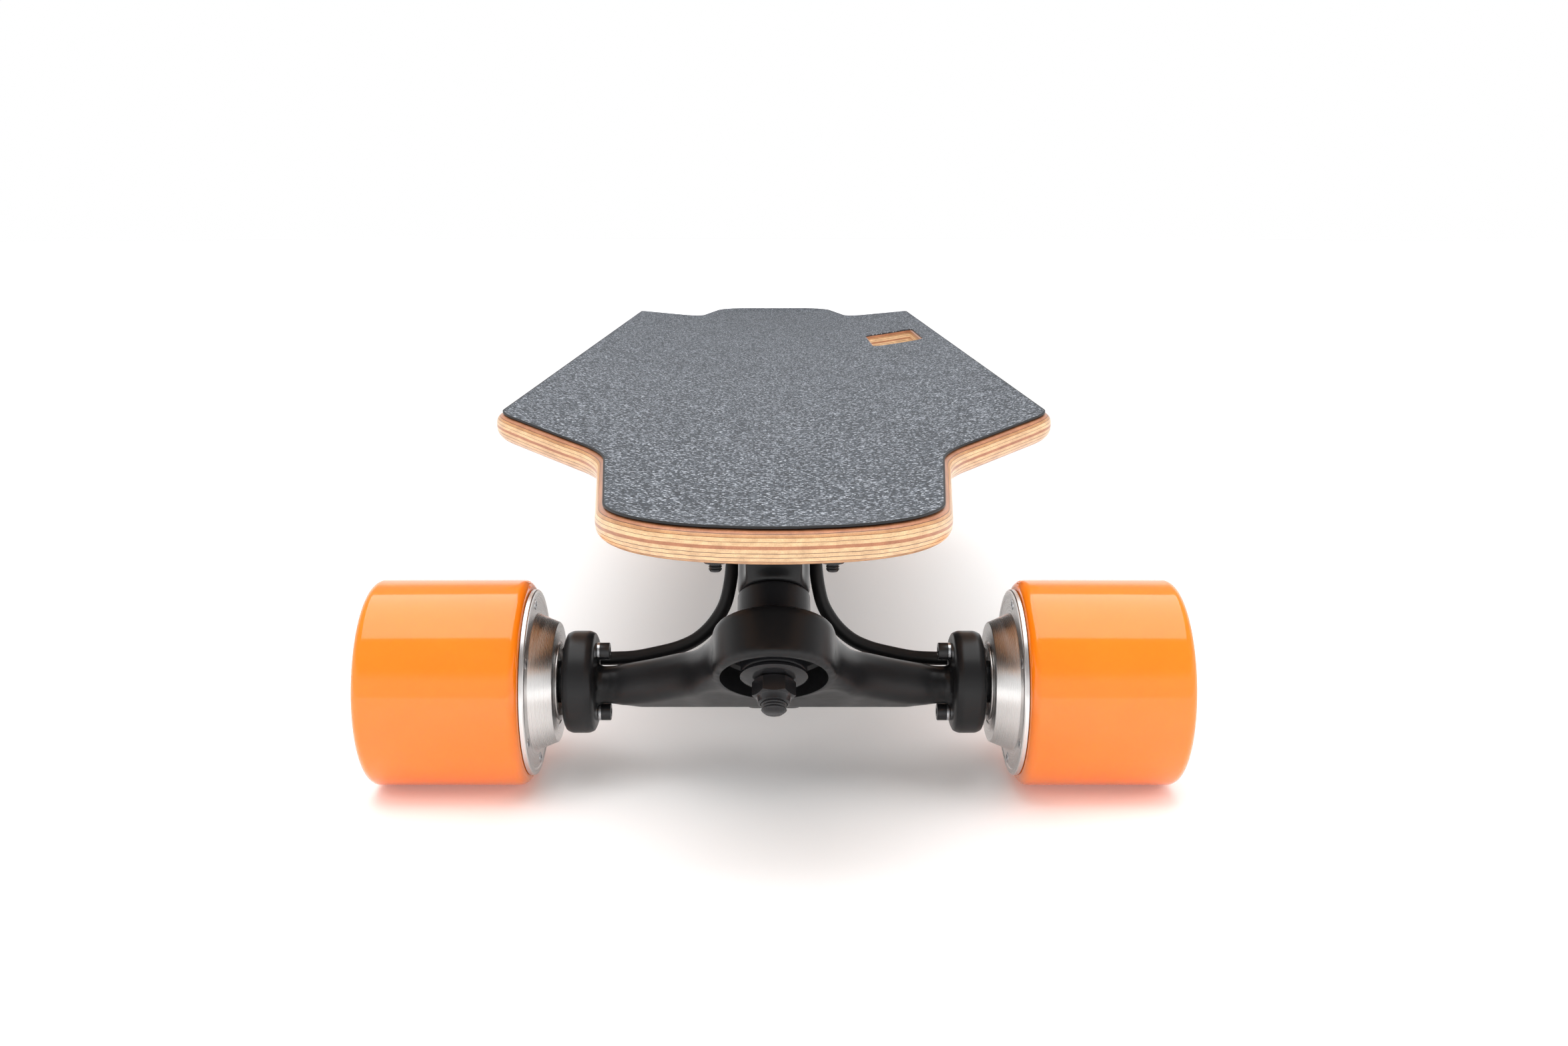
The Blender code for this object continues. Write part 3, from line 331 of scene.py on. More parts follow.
def new_group(name, inputs, outputs):
    """An empty node group with float inputs {name: value} and outputs {name: socket type}."""
    tree = bpy.data.node_groups.new(name, "ShaderNodeTree")
    for label, value in inputs.items():
        kind = "NodeSocketVector" if isinstance(value, tuple) else "NodeSocketFloat"
        tree.interface.new_socket(label, in_out="INPUT", socket_type=kind).default_value = value
    for label, kind in outputs.items():
        tree.interface.new_socket(label, in_out="OUTPUT", socket_type=kind)
    return tree, tree.nodes.new("NodeGroupInput"), tree.nodes.new("NodeGroupOutput")


def surface_group():
    """Handled surface: uneven roughness and a fine height, for paint, steel and rubber."""
    tree, entry, leave = new_group(
        "handled_surface", {"Roughness": 0.4, "Spread": 0.1, "Scale": 400.0},
        {"Roughness": "NodeSocketFloat", "Height": "NodeSocketFloat"})
    point = object_point(tree)
    cloud = speckle(tree, point, math(tree, "MULTIPLY", entry.outputs["Scale"], 0.12), 4)
    change = math(tree, "MULTIPLY", math(tree, "SUBTRACT", cloud, 0.5), entry.outputs["Spread"])
    fill(leave.inputs["Roughness"], math(tree, "ADD", entry.outputs["Roughness"], change))
    fill(leave.inputs["Height"], speckle(tree, point, entry.outputs["Scale"], 3))
    return tree


def turning_group():
    """Fine lines left by a lathe about an axis along X through the wheel's middle."""
    tree, entry, leave = new_group(
        "turning_lines", {"Axle Y": 0.0, "Axle Z": 0.0, "Pitch": 3000.0},
        {"Lines": "NodeSocketFloat", "Height": "NodeSocketFloat"})
    split = tree.nodes.new("ShaderNodeSeparateXYZ")
    fill(split.inputs[0], object_point(tree))
    across = math(tree, "SUBTRACT", split.outputs[1], entry.outputs["Axle Y"])
    above = math(tree, "SUBTRACT", split.outputs[2], entry.outputs["Axle Z"])
    squares = math(tree, "ADD", math(tree, "POWER", across, 2), math(tree, "POWER", above, 2))
    radius = math(tree, "SQRT", squares)
    reach = math(tree, "ADD", radius, math(tree, "MULTIPLY", split.outputs[0], 1.7))
    line = node(tree, "ShaderNodeTexNoise", {"W": reach, "Scale": entry.outputs["Pitch"],
                                             "Detail": 1.0}, noise_dimensions="1D")
    fill(leave.inputs["Lines"], line)
    fill(leave.inputs["Height"], line)
    return tree


def group_node(tree, group, values):
    made = tree.nodes.new("ShaderNodeGroup")
    made.node_tree = group
    for key, value in values.items():
        fill(made.inputs[key], value)
    return made


def new_material(name):
    """A material named after its slot, with its tree and its Principled shader."""
    made = bpy.data.materials.new(name)
    made.use_nodes = True
    return made, made.node_tree, made.node_tree.nodes["Principled BSDF"]


def bump(tree, shader, height, strength, distance):
    normal = node(tree, "ShaderNodeBump", {"Height": height, "Strength": strength,
                                           "Distance": distance})
    fill(shader.inputs["Normal"], normal)


def coated(name, colour, roughness, surface, metallic=0.0, scale=400.0, spread=0.12,
           height=0.00002, coat=0.0, tone=0.12):
    """A plain finish with the handled surface: paint, plastic, rubber or plated steel."""
    made, tree, shader = new_material(name)
    marks = group_node(tree, surface, {"Roughness": roughness, "Spread": spread, "Scale": scale})
    cloud = speckle(tree, object_point(tree), 60, 3)
    darker = tuple(c * (1 - tone) for c in colour)
    lighter = tuple(min(1.0, c * (1 + tone)) for c in colour)
    fill(shader.inputs["Base Color"], mix(tree, cloud, (*darker, 1), (*lighter, 1)))
    fill(shader.inputs["Roughness"], marks.outputs["Roughness"])
    shader.inputs["Metallic"].default_value = metallic
    shader.inputs["Coat Weight"].default_value = coat
    shader.inputs["Coat Roughness"].default_value = 0.12
    bump(tree, shader, marks.outputs["Height"], 0.5, height)
    return made


# ---------------------------------------------------------------- materials
# Layers of the plywood from the bottom face up: (where it starts, colour)
MAPLE, MAPLE_DARK = (0.78, 0.54, 0.31), (0.55, 0.30, 0.14)
RED_VENEER, GLUE = (0.46, 0.20, 0.10), (0.10, 0.042, 0.026)
PLIES = [(0.000, MAPLE_DARK), (0.090, GLUE), (0.104, MAPLE), (0.210, GLUE), (0.224, MAPLE),
         (0.330, GLUE), (0.344, MAPLE), (0.450, RED_VENEER), (0.550, MAPLE), (0.650, GLUE),
         (0.664, MAPLE), (0.770, GLUE), (0.784, MAPLE_DARK), (0.870, GLUE), (0.884, RED_VENEER)]


def ply_height(tree):
    """0 at the deck's lower face and 1 at its top face, following the concave and the tips."""
    split = tree.nodes.new("ShaderNodeSeparateXYZ")
    fill(split.inputs[0], object_point(tree))
    dish = math(tree, "MULTIPLY", math(tree, "POWER", split.outputs[0], 2),
                CONCAVE / DECK_HALF_WIDTH ** 2)
    past = math(tree, "SUBTRACT", math(tree, "ABSOLUTE", split.outputs[1]), AXLE_Y + TIP_START)
    past = math(tree, "DIVIDE", math(tree, "MAXIMUM", past), NOSE_OVERHANG - TIP_START)
    rise = math(tree, "MULTIPLY", math(tree, "POWER", past, 2), TIP_RISE)
    lift = math(tree, "SUBTRACT", split.outputs[2], math(tree, "ADD", dish, rise))
    return math(tree, "DIVIDE", math(tree, "SUBTRACT", lift, DECK_LOW.z), DECK_THICKNESS)


def plywood_material():
    made, tree, shader = new_material("plywood")
    waver = speckle(tree, object_point(tree, (60, 14, 60)), 1.0, 3)
    waver = math(tree, "MULTIPLY", math(tree, "SUBTRACT", waver, 0.5), 0.05)
    layers = ramp(tree, math(tree, "ADD", ply_height(tree), waver), PLIES, "CONSTANT")
    fibre = speckle(tree, object_point(tree, (2200, 70, 2200)), 1.0, 4)
    streak = speckle(tree, object_point(tree, (260, 9, 500)), 1.0, 5)
    shade = ramp(tree, fibre, [(0.30, (0.78, 0.70, 0.63)), (0.62, (1.0, 1.0, 1.0))])
    toned = node(tree, "ShaderNodeMix", {0: 0.55, 6: layers, 7: shade}, 2, data_type="RGBA",
                 blend_type="MULTIPLY")
    pale = ramp(tree, streak, [(0.35, (0.78, 0.70, 0.66)), (0.65, (1.12, 1.08, 1.04))])
    toned = node(tree, "ShaderNodeMix", {0: 0.8, 6: toned, 7: pale}, 2, data_type="RGBA",
                 blend_type="MULTIPLY")
    fill(shader.inputs["Base Color"], toned)
    shader.inputs["Roughness"].default_value = 0.38
    shader.inputs["Coat Weight"].default_value = 0.25
    shader.inputs["Coat Roughness"].default_value = 0.25
    bump(tree, shader, fibre, 0.3, 0.00004)
    return made


def grip_material(name, pale, dark):
    """Coarse grit: bright facets among black ones."""
    made, tree, shader = new_material(name)
    grain = tree.nodes.new("ShaderNodeTexVoronoi")
    fill(grain.inputs["Vector"], object_point(tree))
    grain.inputs["Scale"].default_value = 1300
    tint = node(tree, "ShaderNodeSeparateColor", {0: grain.outputs["Color"]})
    spots = ramp(tree, tint, [(0.0, dark), (0.42, tuple(0.5 * (a + b) for a, b in zip(dark, pale))),
                              (0.75, pale), (0.96, (0.50, 0.53, 0.58))])
    wide = speckle(tree, object_point(tree), 34, 4)
    shade = ramp(tree, wide, [(0.3, (0.80, 0.80, 0.80)), (0.7, (0.90, 0.90, 0.90))])
    toned = node(tree, "ShaderNodeMix", {0: 1.0, 6: spots, 7: shade}, 2, data_type="RGBA",
                 blend_type="MULTIPLY")
    fill(shader.inputs["Base Color"], toned)
    shader.inputs["Roughness"].default_value = 0.72
    bump(tree, shader, grain.outputs["Distance"], 0.8, 0.0004)
    return made


def urethane_material(surface):
    made, tree, shader = new_material("urethane")
    cloud = speckle(tree, object_point(tree), 45, 3)
    marks = group_node(tree, surface, {"Roughness": 0.12, "Spread": 0.05, "Scale": 300.0})
    fill(shader.inputs["Base Color"], mix(tree, cloud, (1.0, 0.205, 0.006, 1), (1.0, 0.235, 0.010, 1)))
    fill(shader.inputs["Roughness"], marks.outputs["Roughness"])
    shader.inputs["Subsurface Weight"].default_value = 0.35
    shader.inputs["Subsurface Radius"].default_value = (0.009, 0.003, 0.001)
    shader.inputs["Subsurface Scale"].default_value = 1.0
    shader.inputs["Coat Weight"].default_value = 0.35
    shader.inputs["Coat Roughness"].default_value = 0.05
    bump(tree, shader, marks.outputs["Height"], 0.3, 0.00001)
    return made


def turned_material(turning, surface):
    made, tree, shader = new_material("turned_aluminium")
    lines = group_node(tree, turning, {"Axle Y": -AXLE_Y, "Axle Z": WHEEL_Z, "Pitch": 2600.0})
    marks = group_node(tree, surface, {"Roughness": 0.20, "Spread": 0.10, "Scale": 200.0})
    tint = mix(tree, lines.outputs["Lines"], (0.60, 0.59, 0.59, 1), (0.88, 0.86, 0.84, 1))
    fill(shader.inputs["Base Color"], tint)
    shader.inputs["Metallic"].default_value = 1.0
    rough = math(tree, "MULTIPLY_ADD", lines.outputs["Lines"], 0.16)
    fill(rough.node.inputs[2], marks.outputs["Roughness"])
    fill(shader.inputs["Roughness"], rough)
    shader.inputs["Anisotropic"].default_value = 0.55
    bump(tree, shader, lines.outputs["Height"], 0.5, 0.00003)
    return made


def make_materials():
    surface, turning = surface_group(), turning_group()
    made = {"plywood": plywood_material(),
            "grip_tape": grip_material("grip_tape", (0.085, 0.099, 0.120), (0.014, 0.016, 0.020)),
            "urethane": urethane_material(surface),
            "turned_aluminium": turned_material(turning, surface)}
    plain = {
        "grip_border": ((0.006, 0.006, 0.007), 0.6, 0.0, 900.0, 0.00003),
        "wheel_core": ((0.60, 0.60, 0.58), 0.42, 0.0, 500.0, 0.00001),
        "motor_winding": ((0.42, 0.16, 0.06), 0.35, 0.9, 900.0, 0.00010),
        "bearing_steel": ((0.70, 0.70, 0.71), 0.16, 1.0, 300.0, 0.000005),
        "zinc_steel": ((0.58, 0.59, 0.61), 0.24, 1.0, 700.0, 0.00001),
        "controller_aluminium": ((0.42, 0.43, 0.45), 0.42, 1.0, 900.0, 0.00001),
        "battery_wrap": ((0.02, 0.07, 0.30), 0.32, 0.0, 200.0, 0.00008),
        "bushing_urethane": ((0.014, 0.014, 0.016), 0.38, 0.0, 500.0, 0.00001),
        "black_rubber": ((0.018, 0.018, 0.019), 0.62, 0.0, 900.0, 0.00003),
        "cable_rubber": ((0.012, 0.012, 0.013), 0.46, 0.0, 900.0, 0.00002),
        "black_steel": ((0.020, 0.020, 0.022), 0.26, 0.3, 900.0, 0.00001),
        "satin_black": ((0.0105, 0.0105, 0.0115), 0.33, 0.0, 1500.0, 0.000025),
        "case_plastic": ((0.016, 0.016, 0.017), 0.48, 0.0, 1700.0, 0.00004)}
    for name, (colour, rough, metal, scale, height) in plain.items():
        made[name] = coated(name, colour, rough, surface, metal, scale, height=height)
    for name in ("satin_black", "bushing_urethane", "cable_rubber", "black_rubber", "case_plastic"):
        shader = made[name].node_tree.nodes["Principled BSDF"]
        shader.inputs["Specular IOR Level"].default_value = 0.30
    return made


# ---------------------------------------------------------------- deck
def deck_edge():
    """The right edge of the deck, from the motor end's tip to the front tip."""
    nose = (NOSE_HALF_WIDTH, -NOSE_TIP_Y + NOSE_BOW)
    neck = (NECK_HALF_WIDTH, -AXLE_Y + NECK_INSET)
    shoulder = (DECK_HALF_WIDTH, -AXLE_Y + SHOULDER_INSET)
    flat = NOSE_HALF_WIDTH - NOSE_RADIUS
    tip = [(flat * k / 10, -NOSE_TIP_Y + NOSE_BOW * (flat * k / 10 / NOSE_HALF_WIDTH) ** 2)
           for k in range(11)]
    half = tip[:-1]
    half += arc(tip[-1], nose, neck, NOSE_RADIUS, 18)
    half += arc(nose, neck, shoulder, NECK_RADIUS, 14)
    half += arc(neck, shoulder, (DECK_HALF_WIDTH, 0), SHOULDER_RADIUS, 12)
    waist = [(DECK_HALF_WIDTH, y) for y in (-0.24, -0.12, 0, 0.12, 0.24)]
    return half + waist + [(x, -y) for x, y in reversed(half)]


def inset(edge, distance):
    """The edge moved inward; its two ends stay on the centre line."""
    moved = []
    for i, point in enumerate(edge):
        before = edge[i - 1] if i else (-edge[1][0], edge[1][1])
        after = edge[i + 1] if i + 1 < len(edge) else (-edge[-2][0], edge[-2][1])
        run = (Vector(after) - Vector(before)).normalized()
        moved.append((point[0] - run.y * distance, point[1] + run.x * distance))
    return moved


def deck_top(x, y):
    past = max(0.0, abs(y) - AXLE_Y - TIP_START) / (NOSE_OVERHANG - TIP_START)
    return DECK_TOP + CONCAVE * (x / DECK_HALF_WIDTH) ** 2 + TIP_RISE * past ** 2


def board(name, rings, material, replaces, border=None, columns=24):
    """A curved board: rings of (inset, height over the deck's top face), from below upward."""
    bm = bmesh.new()
    loops = []
    for distance, lift in rings:
        edge = inset(deck_edge(), distance)
        round_it = edge + [(-x, y) for x, y in reversed(edge[1:-1])]
        loops.append(ring(bm, [(x, y, deck_top(x, y) + lift) for x, y in round_it]))
    for low, high in zip(loops, loops[1:]):
        for i in range(len(low)):
            bm.faces.new((low[i - 1], low[i], high[i], high[i - 1]))
    close_board(bm, loops[0], rings[0][1], columns)
    inner = close_board(bm, loops[-1], rings[-1][1], columns)
    if border:
        for face in bm.faces:
            face.material_index = 1
        for face in inner:
            face.material_index = 0
    made = add(name, bm, material, "deck", replaces=replaces, crease=40)
    if border:
        made.data.materials.append(border)
    return made


def close_board(bm, loop, lift, columns):
    """Fill a ring of the board with strips that run across it."""
    last = len(loop) // 2
    rows = [[loop[0]]]
    for i in range(1, last):
        row = [loop[i]]
        for k in range(1, columns):
            x, y, _ = loop[i].co.lerp(loop[-i].co, k / columns)
            row.append(bm.verts.new((x, y, deck_top(x, y) + lift)))
        rows.append(row + [loop[-i]])
    rows.append([loop[last]])
    made = []
    for near, far in zip(rows, rows[1:]):
        for k in range(columns):
            corners = [near[min(k, len(near) - 1)], near[min(k + 1, len(near) - 1)],
                       far[min(k + 1, len(far) - 1)], far[min(k, len(far) - 1)]]
            made.append(bm.faces.new(list(dict.fromkeys(corners))))
    return made


def prism(name, outline, low, high, material, place=Matrix()):
    """A helper with an outline and two heights, placed and left without a body."""
    bm = bmesh.new()
    bridge(bm, [ring(bm, [(x, y, z) for x, y in outline]) for z in (low, high)])
    return add(name, bm, material, None, place)


def bolt_places():
    """(node name, x, y) of each truck bolt, read from the frame."""
    places = []
    for truck in TRUCKS:
        for side in SIDES:
            for row in ("outer", "inner"):
                name = f"{truck}_truck_bolt_{side}_{row}"
                low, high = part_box(name)
                places.append((name, (low.x + high.x) / 2, (low.y + high.y) / 2))
    return places


def make_deck(paint):
    """Pressed plies with a rounded edge, grip tape with a bare border, slot and bolt holes."""
    thick = -DECK_THICKNESS
    rings = []
    for k in range(7):
        turn = pi / 2 * k / 6
        rings.append((EDGE_ROUND * (1 - sin(turn)), thick + EDGE_ROUND * (1 - cos(turn))))
    rings += [(distance, thick - lift) for distance, lift in reversed(rings)]
    deck = board("deck_plies", rings, paint["plywood"], ("deck",))
    top = GAP + GRIP_THICKNESS
    grip = board("grip_sheet", [(GRIP_INSET, GAP), (GRIP_INSET, top - 0.0002),
                                (GRIP_INSET + 0.0002, top), (GRIP_INSET + 0.0007, top)],
                 paint["grip_tape"], ("grip_tape",), paint["grip_border"])
    wood = paint["plywood"]
    for piece, grow in ((deck, 0.0), (grip, 0.0012)):
        outline = oblong(SLOT_WIDTH / 2 + grow, SLOT_LENGTH / 2 + grow, SLOT_RADIUS + grow)
        boolean(piece, prism("slot_cutter", outline, DECK_TOP - 0.05, DECK_TOP + 0.05, wood,
                             at(SLOT_X, SLOT_Y, 0)))
        soften_slot(piece)
    for name, x, y in bolt_places():
        head = deck_top(x, y) - 0.0038
        boolean(deck, turned(name + "_hole", [
            (0.0028, DECK_TOP - 0.05), (0.0028, head), (0.0049, head + 0.0030),
            (0.0049, DECK_TOP + 0.05)], wood, None, at(x, y, 0), 32))


def soften_slot(piece):
    """Shade the slot's wall flat against the board's faces."""
    piece.data.set_sharp_from_angle(angle=radians(38))


# ---------------------------------------------------------------- screws, nuts, threads
def hex_ring(bm, flats, height, slope=0.0, sides=48):
    """A ring round a hexagon; `slope` bends it where a chamfer cuts its corners."""
    points = []
    for k in range(sides):
        turn = 2 * pi * k / sides
        radius = flats / 2 / cos(turn % (pi / 3) - pi / 6)
        points.append((radius * cos(turn), radius * sin(turn),
                       height + slope * (radius - flats * 0.475)))
    return ring(bm, points)


def rings_of(bm, profile, sides=48):
    """Rings from (radius, height) pairs, or ("hex", flats, height, slope)."""
    made = []
    for entry in profile:
        if entry[0] == "hex":
            made.append(hex_ring(bm, *entry[1:], sides=sides))
        else:
            made.append(ring(bm, circle(*entry, sides)))
    return made


def thread(radius, low, high, pitch, depth):
    """(radius, height) pairs of a thread, as grooves."""
    count = max(1, int((high - low) / pitch))
    step = (high - low) / count
    points = []
    for k in range(count):
        points += [(radius - depth, low + k * step), (radius, low + (k + 0.5) * step)]
    return points + [(radius - depth, high)]


def lock_nut(name, flats, height, bore, material, body, place, replaces):
    """A hexagon nut with a collar that holds its locking insert; its collar points down."""
    bm = bmesh.new()
    low = height * 0.30
    profile = [(bore, 0.0), (flats * 0.36, 0.0), (flats * 0.43, height * 0.05),
               (flats * 0.45, low * 0.8), (flats * 0.475, low), ("hex", flats, low, 0.5),
               ("hex", flats, height, -0.5), (flats * 0.475, height), (bore, height)]
    bridge(bm, rings_of(bm, profile), closed=True)
    return add(name, bm, material, body, place, replaces, crease=28)


def socket_head(bm, radius, height, socket, depth, place, sides=48):
    """A cap screw's head standing on z = 0, with a hexagonal socket in its top."""
    soft = radius * 0.10
    profile = [(radius, 0.0), (radius, height - soft), (radius - soft * 0.3, height - soft * 0.3),
               (radius - soft, height), (socket * 0.62, height),
               ("hex", socket, height - socket * 0.06, 0.0), ("hex", socket, height - depth, 0.0)]
    loops = rings_of(bm, profile, sides)
    bridge(bm, loops)
    for loop in loops:
        for vert in loop:
            vert.co = place @ vert.co


def washer_ring(bm, outer, inner, low, high, place, sides=48):
    loops = rings_of(bm, [(inner, low), (outer, low), (outer, high), (inner, high)], sides)
    bridge(bm, loops, closed=True)
    for loop in loops:
        for vert in loop:
            vert.co = place @ vert.co


def make_truck_bolts(paint):
    """Countersunk bolts from above, with lock nuts and thread ends under the base plate."""
    for name, x, y in bolt_places():
        low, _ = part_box(name)
        tail = low.z + 0.0030
        radius, head = 0.0024, deck_top(x, y) - 0.0006
        bm = bmesh.new()
        profile = [(radius - 0.0006, low.z)] + thread(radius, low.z + 0.0004, tail + 0.0002,
                                                      0.0008, 0.0003)
        profile += [(radius, tail), (radius, head - 0.0030), (0.0045, head - 0.0004),
                    (0.0045, head), (0.0016, head), (0.0014, head - 0.0014)]
        lathe(bm, profile, 32)
        add(name + "_shank", bm, paint["black_steel"], "deck", at(x, y, 0), (name,))
        lock_nut(name + "_nut", 0.0095, 0.0040, radius + 0.0001, paint["black_steel"], "deck",
                 at(x, y, tail), ())


# ---------------------------------------------------------------- trucks
BASE_TOP = DECK_LOW.z - GAP - 0.0020 - GAP
BASE_BOTTOM = BASE_TOP - 0.0040
BOSS_START = 0.0156             # up the kingpin from the hanger's seat
HEAD_SEAT = 0.0420
NUT_TOP = -RING_WEB - 2 * GAP - 0.0090 - 0.0020 - GAP
MOUTH = -RING_WEB - RECESS_DEPTH


def on_kingpin(lift, across):
    """(outboard, height) of a point `lift` up the kingpin and `across` it, outboard and up."""
    return (SEAT_OUT - lift * cos(KINGPIN_TILT) + across * sin(KINGPIN_TILT),
            SEAT_HEIGHT + lift * sin(KINGPIN_TILT) + across * cos(KINGPIN_TILT))


def on_pivot(lift, across):
    """(outboard, height) of a point `lift` along the steering axis and `across` it, upward."""
    rise = atan2(SEAT_HEIGHT - PIVOT_HEIGHT, SEAT_OUT + PIVOT_IN)
    return (-PIVOT_IN + lift * cos(rise) - across * sin(rise),
            PIVOT_HEIGHT + lift * sin(rise) + across * cos(rise))


def subdivided(mesh):
    """Cut the long edges in four."""
    bm = bmesh.new()
    bm.from_mesh(mesh)
    long_edges = [edge for edge in bm.edges if edge.calc_length() > 0.004]
    bmesh.ops.subdivide_edges(bm, edges=long_edges, cuts=3, use_grid_fill=True)
    bm.to_mesh(mesh)
    bm.free()
    return mesh


def capsule(y1, z1, r1, y2, z2, r2, sides=20):
    """Outline round two circles, as (outboard, height) points."""
    way = atan2(z2 - z1, y2 - y1)
    points = []
    for y, z, r, first in ((y1, z1, r1, way + pi / 2), (y2, z2, r2, way - pi / 2)):
        points += [(y + r * cos(first + pi * k / sides), z + r * sin(first + pi * k / sides))
                   for k in range(sides + 1)]
    return points


def cast(piece, voxel, passes):
    """Fuse overlapping shells into one skin and soften it, as a casting's fillets."""
    fuse = piece.modifiers.new("fuse", "REMESH")
    fuse.mode = "VOXEL"
    fuse.voxel_size = voxel
    soften = piece.modifiers.new("soften", "SMOOTH")
    soften.factor = 0.5
    soften.iterations = passes
    apply_modifiers(piece)


def fair(piece, reach):
    """Fill inner corners with a round of `reach`: swell the skin, fuse it, then shrink it back."""
    for name, voxel, move in (("swell", 0.0010, reach), ("shrink", 0.0010, -reach)):
        fuse = piece.modifiers.new(name + "_fuse", "REMESH")
        fuse.mode = "VOXEL"
        fuse.voxel_size = voxel
        soften = piece.modifiers.new(name + "_soften", "SMOOTH")
        soften.factor = 0.5
        soften.iterations = 4
        offset = piece.modifiers.new(name, "DISPLACE")
        offset.strength = move
        offset.mid_level = 0.0
        apply_modifiers(piece)


def smooth_stations(stations, count=6):
    """Extra stations between the given ones, on a smooth curve through them."""
    knots = [Vector(s) for s in stations]
    knots = [knots[0]] + knots + [knots[-1]]
    made = []
    for before, start, stop, after in zip(knots, knots[1:], knots[2:], knots[3:]):
        for k in range(count):
            t = k / count
            made.append(0.5 * (2 * start + (stop - before) * t
                               + (2 * before - 5 * start + 4 * stop - after) * t ** 2
                               + (3 * start - before - 3 * stop + after) * t ** 3))
    return made + [knots[-1]]


def join(pieces):
    """Merge several helpers into the first one, as loose shells of one mesh."""
    bm = bmesh.new()
    for piece in pieces:
        bm.from_mesh(piece.data)
    bm.to_mesh(pieces[0].data)
    bm.free()
    for piece in pieces[1:]:
        bpy.data.objects.remove(piece, do_unlink=True)
    return pieces[0]


def hanger_arms(name, material, end, half, end_radius):
    """The arms as one loft across the truck."""
    head = on_kingpin(-0.010, 0.002)
    low_centre = WHEEL_Z - 0.0012
    stations = [(0.0, *head, ARM_RADIUS), (0.010, *head, ARM_RADIUS),
                (0.0175, head[0] - 0.0010, head[1] - 0.0010, ARM_RADIUS),
                (0.0235, 0.0335, 0.0605, ARM_RADIUS), (0.030, 0.0245, 0.0532, ARM_RADIUS),
                (0.037, 0.0150, 0.0490, ARM_RADIUS), (0.048, 0.0070, 0.0442, ARM_RADIUS),
                (0.060, 0.0020, 0.0410, ARM_RADIUS - 0.0004),
                (0.0660, 0.0005, low_centre, end_radius), (half, 0.0005, low_centre, end_radius)]
    sections = []
    for x, y, z, r in smooth_stations(stations):
        lower = ARM_HEIGHT + (low_centre - ARM_HEIGHT) * min(1, max(0, (x - 0.055) / 0.011))
        base = r if x > 0.055 else ARM_RADIUS
        sections.append((x, capsule(0, lower, base, y, z, r + (0.0005 if x < 0.063 else 0))))
    mirror = [(-x, outline) for x, outline in reversed(sections[1:])]
    bm = bmesh.new()
    bridge(bm, [ring(bm, [(x, y, z) for y, z in outline]) for x, outline in mirror + sections])
    return add(name, bm, material, None, truck_frame(end))


def make_hanger(paint, truck, end, half):
    black = paint["satin_black"]
    kingpin = kingpin_frame(end)
    hanger = hanger_arms(f"{truck}_hanger_cast", black, end, half, 0.0076)
    barrel = [(0.0005, MOUTH), (BARREL_RADIUS - 0.0010, MOUTH), (BARREL_RADIUS, MOUTH + 0.0015),
              (BARREL_RADIUS, -0.0010), (BARREL_RADIUS - 0.0016, 0.0014), (0.0005, 0.0014)]
    pieces = [hanger, turned("barrel", barrel, black, None, kingpin)]
    pieces.append(turned("stub", [(0.0048, 0.0), (0.0048, 0.0105), (0.0074, 0.0150),
                                  (0.0080, 0.0300)], black, None, pivot_frame(end)))
    join(pieces)
    fair(hanger, 0.0160)
    if truck == "rear":
        discs = [turned("flange", flange_profile(), black, None, flange_place(sign))
                 for sign in SIDES.values()]
        join([hanger] + discs)
    cast(hanger, 0.0006, 4)
    cutters = [turned("recess", [(RECESS_RADIUS - 0.0014, MOUTH - 0.03),
                                 (RECESS_RADIUS, MOUTH + 0.0014), (RECESS_RADIUS, -RING_WEB - 0.0012),
                                 (RECESS_RADIUS - 0.0012, -RING_WEB)], black, None, kingpin),
               turned("seat", [(0.0155, 0.0), (0.0155, 0.03)], black, None, kingpin),
               turned("bore", [(0.0082, MOUTH), (0.0082, 0.03)], black, None, kingpin)]
    if truck == "rear":
        for sign in SIDES.values():
            place = flange_place(sign)
            cutters.append(turned("axle_bore", [(0.0088, 0.0033), (0.0088, 0.03)], black, None, place))
            for step in (-1, 1):
                hole = at(0, 0, step * 0.0257 / 2) @ place
                cutters.append(turned("screw_hole", [(0.0023, -0.003), (0.0023, 0.03)], black, None,
                                      hole, 32))
    else:
        cutters.append(turned("axle_hole", [(0.0043, -0.2), (0.0043, 0.2)], black, None,
                              along_x(0, end * AXLE_Y, WHEEL_Z, 1), 32))
    for cutter in cutters:
        boolean(hanger, cutter)
    hanger.data.shade_smooth()
    hanger.data.set_sharp_from_angle(angle=radians(42))
    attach(hanger, f"{truck}_hanger")
    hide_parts(f"{truck}_hanger")


def flange_profile():
    """The motor hanger's end disc, with a wide round on each edge."""
    soft, radius, thick = 0.0030, 0.0207, 0.0126
    return [(0.0005, 0), (radius - soft, 0), (radius - 0.3 * soft, 0.3 * soft), (radius, soft),
            (radius, thick - soft), (radius - 0.3 * soft, thick - 0.3 * soft),
            (radius - soft, thick), (0.0005, thick)]


def flange_place(sign):
    return along_x(sign * 0.0717, -AXLE_Y, WHEEL_Z, sign)


